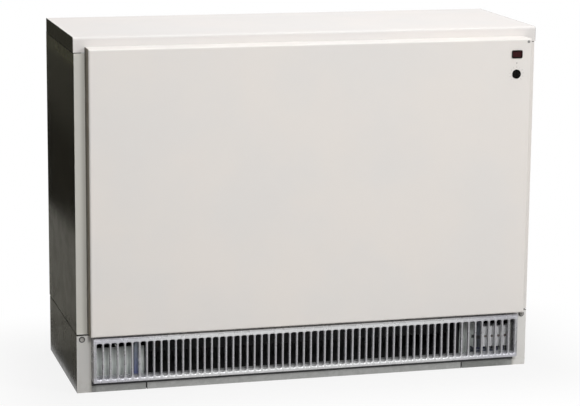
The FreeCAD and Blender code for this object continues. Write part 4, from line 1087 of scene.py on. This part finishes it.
poleLeads = {
    "colours": ("navy", "slate", "navy", "navy"),
    "radius": 0.0019,
    "poleY": -0.1125,
    "top": 0.035,
    "runY": -0.1168,
    "low": 0.0212,
    "rise": 0.0032,
    "bend": 0.005,
    "end": 0.3465,
}


def makePoleLeads(look, poles):
    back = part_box("terminal_bracket")[0].y
    end, bend, poleY, runY = look["end"], look["bend"], look["poleY"], look["runY"]
    low = look["low"] + len(look["colours"]) * look["rise"]
    for index, colour in enumerate(look["colours"]):
        # the farthest pole's lead runs lowest, so that none crosses another
        low -= look["rise"]
        x = poles["first"] + index * poles["pitch"]
        down = ((x, poleY, look["top"]), (x, poleY, low + bend), (x, runY, low))
        along = ((x - bend, runY, low), (end + bend, runY, low), (end, runY, low), (end, back, low))
        lead = {"radius": look["radius"], "points": down + along}
        makeLead("pole_lead_%d" % (index + 1), lead, sheaths[colour])


sheaths = {}
for colour, (base, tint) in sheathColours.items():
    look = dict(sheathLook, colour=base, tint=tint, **sheathFades.get(colour, {}))
    sheaths[colour] = makeFinish("sheath_" + colour, moulding, look)
for name, look in bayLeads.items():
    makeLead(name, look, sheaths[look["colour"]])
makePoleLeads(poleLeads, terminalPoles)

# terminal screws in the block's wells, and the lead's clip on the bracket
poleScrews = {
    "count": 4,
    "y": -0.1205,
    "z": 0.0555,
    "radius": 0.0025,
    "height": 0.0015,
    "slotWidth": 0.0007,
    "slotDepth": 0.0008,
}
leadClip = {
    "centre": (0.3600, -0.1080, 0.0520),
    "inner": 0.0047,
    "outer": 0.0058,
    "width": 0.0060,
    "tail": (0.3475, 0.3560),
    "tailThickness": 0.0018,
    "screwShift": -0.001,
    "screw": {"radius": 0.0022, "height": 0.0014, "slotWidth": 0.0007, "slotDepth": 0.0007},
}


def makePoleScrews(look, poles):
    form = bmesh.new()
    addSlottedHead(form, look)
    head, finish = meshFrom(form, "screwHead"), finishes["element_steel"]
    start, step = (poles["first"], look["y"], look["z"]), (poles["pitch"], 0.0, 0.0)
    piece = newPiece("pole_screws", copiesOf(head, finish, look["count"], start, step))
    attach(piece, "cabinet")


def makeLeadClip(look):
    x, y, z = look["centre"]
    half = look["width"] / 2
    form = bmesh.new()
    section = (("inner", -half), ("outer", -half), ("outer", half), ("inner", half), ("inner", -half))
    rows = []
    for radius, level in section:
        circle = roundOutline(look[radius], ringSides)
        rows.append([(x + across, y + along, z + level) for across, along in circle])
    wrapRows(form, rows, closed=True)
    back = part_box("terminal_bracket")[0].y
    face = back - look["tailThickness"]
    left, right = look["tail"]
    outline = [(left, z - half), (right, z - half), (right, z + half), (left, z + half)]
    addPrism(form, outline, face, back)
    piece = newPiece("lead_clip", meshFrom(form, "lead_clip"), finishes["strip_rubber"])
    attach(piece, "cabinet")
    form = bmesh.new()
    addSlottedHead(form, look["screw"])
    place = Vector(((left + right) / 2 + look["screwShift"], face, z))
    bmesh.ops.translate(form, verts=form.verts, vec=place)
    screw = newPiece("lead_clip_screw", meshFrom(form, "lead_clip_screw"), finishes["black_plastic"])
    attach(screw, "cabinet")


makePoleScrews(poleScrews, terminalPoles)
makeLeadClip(leadClip)
print("leads and terminals made")

# printed scale round the knob, its mark, and dark cups under the post screws
dialPrint = {
    "ticks": 11,
    "sweep": 270,
    "inner": 0.0122,
    "outer": 0.0146,
    "tickWidth": 0.00055,
    "ink": 0.00005,
    "markRise": 0.0205,
    "markSize": 0.0030,
    "colour": (0.22, 0.216, 0.208),
    "wearSize": 0.0012,
}
screwCups = {"inner": 0.0041, "outer": 0.0058, "lip": 0.0009, "shoulder": 0.4, "x": 0.435, "z": 0.103}


def printInk(place, look):
    worn = patches(place, look["wearSize"], 3, 0.35, 0.65, 0.0, 0.25)
    setShader(place, colour=blend(worn, look["colour"], creamLook["colour"]), rough=0.5)


def makeDialPrint(look):
    ink = makeFinish("printInk", printInk, look)
    knobLow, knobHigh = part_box("thermostat_knob")
    centre = (knobLow + knobHigh) / 2
    centre.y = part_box("front_panel")[0].y
    half, inner, outer = look["tickWidth"] / 2, look["inner"], look["outer"]
    form = bmesh.new()
    addPrism(form, [(-half, inner), (half, inner), (half, outer), (-half, outer)], -look["ink"], 0.0)
    sweep = math.radians(look["sweep"])
    tick, turn = meshFrom(form, "tick"), sweep / (look["ticks"] - 1)
    mesh = copiesOf(tick, ink, look["ticks"], tuple(centre), (0.0, 0.0, 0.0), -sweep / 2, turn)
    form = bmesh.new()
    form.from_mesh(mesh)
    size = look["markSize"] / 2
    level = centre.z + look["markRise"]
    mark = [(centre.x - size, level + size), (centre.x, level - size), (centre.x + size, level + size)]
    addPrism(form, mark, centre.y - look["ink"], centre.y)
    bmesh.ops.recalc_face_normals(form, faces=form.faces)
    form.to_mesh(mesh)
    form.free()
    piece = newPiece("dial_print", mesh, ink)
    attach(piece, "cabinet")


def makeScrewCups(look):
    lip = look["lip"]
    shoulder = look["shoulder"] * lip
    section = (("inner", 0.0), ("outer", 0.0), ("outer", shoulder), ("inner", lip), ("inner", 0.0))
    form = bmesh.new()
    rows = []
    for radius, lift in section:
        rows.append([(across, -lift, along) for across, along in roundOutline(look[radius], ringSides)])
    wrapRows(form, rows, closed=True)
    cup, finish = meshFrom(form, "screwCup"), finishes["strip_rubber"]
    start = (-look["x"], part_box("base_post_left")[0].y, look["z"])
    piece = newPiece("screw_cups", copiesOf(cup, finish, 2, start, (2 * look["x"], 0.0, 0.0)))
    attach(piece, "cabinet")


makeDialPrint(dialPrint)
makeScrewCups(screwCups)
print("dial print and screw cups made")

# camera at the photograph's place
cameraStand = {
    "place": (-1.0887, -4.0285, 1.1594),
    "yaw": 15.147,
    "pitch": 11.439,
    "roll": 0.521,
    "focalPixels": 2180.1,
    "frameWidth": 580,
    "sensorWidth": 36,
}


def makeCamera(stand):
    yaw, pitch, roll = (math.radians(stand[key]) for key in ("yaw", "pitch", "roll"))
    ahead = Vector((math.sin(yaw) * math.cos(pitch), math.cos(yaw) * math.cos(pitch), -math.sin(pitch)))
    level = Vector((math.cos(yaw), -math.sin(yaw), 0))
    upright = level.cross(ahead)
    across = math.cos(roll) * level + math.sin(roll) * upright
    upward = math.cos(roll) * upright - math.sin(roll) * level
    data = bpy.data.cameras.new("camera")
    data.sensor_fit = "HORIZONTAL"
    data.sensor_width = stand["sensorWidth"]
    data.lens = stand["focalPixels"] / stand["frameWidth"] * stand["sensorWidth"]
    camera = bpy.data.objects.new("camera", data)
    turn = Matrix((across, upward, -ahead)).transposed().to_4x4()
    camera.matrix_world = Matrix.Translation(stand["place"]) @ turn
    scene.collection.objects.link(camera)
    scene.camera = camera


makeCamera(cameraStand)

# studio: white surroundings, a pale floor that keeps the shadow, soft lamps
studio = {
    "ambient": 0.05,
    "ambientColour": (1.0, 0.985, 0.965),
    "floorSize": 60,
    "floorColour": (0.62, 0.61, 0.60),
    "floorShade": 0.13,
    "footprint": (0.45, 0.19),
    "whiteReach": (0.0, 0.30),
    "drape": {
        "left": -4.0,
        "right": -0.452,
        "front": -0.60,
        "back": 0.35,
        "height": 3.0,
        "hem": (-0.698, 1.12),
        "colour": (0.012, 0.012, 0.009),
        "upper": (0.068, 0.066, 0.053),
        "upperSpan": (0.175, 0.255),
        "footColour": (0.495, 0.482, 0.425),
        "nearShadeColour": (0.34, 0.33, 0.288),
        "nearShadeSpan": (0.0, 0.035),
    },
    "mat": {
        "left": 0.452,
        "right": 4.0,
        "front": -0.60,
        "back": 5.0,
        "colour": (0.05, 0.05, 0.04),
        "footColour": (0.16, 0.158, 0.138),
    },
    "lamps": {
        "keyLamp": {"place": (2.7, -2.5, 2.6), "target": (0.1, -0.1, 0.40), "size": 1.6, "power": 72},
        "fillLamp": {"place": (-0.1, -2.9, 2.9), "target": (0.0, -0.1, 0.40), "size": 1.6, "power": 12},
        "frontLamp": {"place": (-0.50, -3.3, 1.70), "target": (0.0, -0.1, 0.35), "size": 0.45, "power": 42},
        "topLamp": {"place": (0.1, 0.3, 3.2), "target": (0.0, 0.0, 0.60), "size": 1.6, "power": 55},
    },
}


def seenWhite(tree):
    # camera, mirror and glass rays see the white background itself
    path = addNode(tree, "ShaderNodeLightPath").outputs
    glossy = combine(path["Is Camera Ray"], path["Is Glossy Ray"], "MAXIMUM")
    return combine(glossy, path["Is Transmission Ray"], "MAXIMUM")


def makeWorld(look):
    world = bpy.data.worlds.new("studio")
    world.use_nodes = True
    tree = world.node_tree
    soft = tree.nodes["Background"]
    feed(soft.inputs["Color"], look["ambientColour"])
    feed(soft.inputs["Strength"], look["ambient"])
    white = addNode(tree, "ShaderNodeBackground", {"Color": (1, 1, 1), "Strength": 1.0})
    mix = addNode(tree, "ShaderNodeMixShader", {0: seenWhite(tree), 1: soft.outputs[0], 2: white.outputs[0]})
    tree.links.new(mix.outputs[0], tree.nodes["World Output"].inputs["Surface"])
    scene.world = world


def makeFloor(look):
    material, place = startFinish("paleFloor")
    tree = place.id_data
    setShader(place, colour=look["floorColour"], rough=0.9, specular=0.0)
    white = addNode(tree, "ShaderNodeEmission", {"Color": (1, 1, 1), "Strength": 1.0})
    sides = []
    for letter, half in zip("XY", look["footprint"]):
        reach = sized(axis(place, letter))
        sides.append(combine(combine(reach, half, "SUBTRACT"), 0.0, "MAXIMUM"))
    outside = addNode(tree, "ShaderNodeCombineXYZ", {"X": sides[0], "Y": sides[1]}).outputs[0]
    away = addNode(tree, "ShaderNodeVectorMath", {0: outside}, operation="LENGTH").outputs["Value"]
    whiteness = spread(away, *look["whiteReach"], 1 - look["floorShade"], 1.0)
    share = combine(seenWhite(tree), whiteness)
    lit = tree.nodes["Principled BSDF"].outputs[0]
    mix = addNode(tree, "ShaderNodeMixShader", {0: share, 1: lit, 2: white.outputs[0]})
    tree.links.new(mix.outputs[0], tree.nodes["Material Output"].inputs["Surface"])
    form = bmesh.new()
    bmesh.ops.create_grid(form, x_segments=1, y_segments=1, size=look["floorSize"] / 2)
    floor = newPiece("studioFloor", meshFrom(form, "studioFloor"), material)


def makeDrape(name, look, lift=0.001, soft=0.02):
    # dark cloth beside the sides, out of the picture; only gloss shows it
    material, place = startFinish(name)
    level, foot, cloth = axis(place, "Z"), look["footColour"], look["colour"]
    if "hem" in look:
        # the dark part's hem rises towards the heater, and the floor part is darker than the foot of the
        # cloth: painted shade
        start, slope = look["hem"]
        foot = blend(spread(level, *look["nearShadeSpan"], 1.0, 0.0), foot, look["nearShadeColour"])
        rise = combine(combine(axis(place, "X"), start, "SUBTRACT"), slope)
        level = combine(level, combine(rise, 0.0, "MAXIMUM"), "SUBTRACT")
        cloth = blend(spread(level, *look["upperSpan"]), cloth, look["upper"])
    standing = spread(level, 0.0, soft)
    setShader(place, colour=blend(standing, foot, cloth), rough=1.0, specular=0.0)
    form = bmesh.new()
    profile = [(look["front"], lift), (look["back"], lift)]
    if "height" in look:
        profile.append((look["back"], look["height"]))
    wrapRows(form, [[(x, y, z) for x in (look["left"], look["right"])] for y, z in profile], closed=False)
    drape = newPiece(name, meshFrom(form, name), material)
    drape.visible_camera = False
    drape.visible_diffuse = False
    drape.visible_shadow = False


def makeLamps(look):
    for name, lamp in look["lamps"].items():
        data = bpy.data.lights.new(name, "AREA")
        data.shape = "DISK"
        data.size = lamp["size"]
        data.energy = lamp["power"]
        light = bpy.data.objects.new(name, data)
        aim = Vector(lamp["target"]) - Vector(lamp["place"])
        turn = aim.to_track_quat("-Z", "Y").to_matrix().to_4x4()
        light.matrix_world = Matrix.Translation(lamp["place"]) @ turn
        scene.collection.objects.link(light)


makeWorld(studio)
makeFloor(studio)
makeDrape("darkDrape", studio["drape"])
makeDrape("darkMat", studio["mat"])
makeLamps(studio)
scene.view_settings.view_transform = "Standard"
print("studio lit")
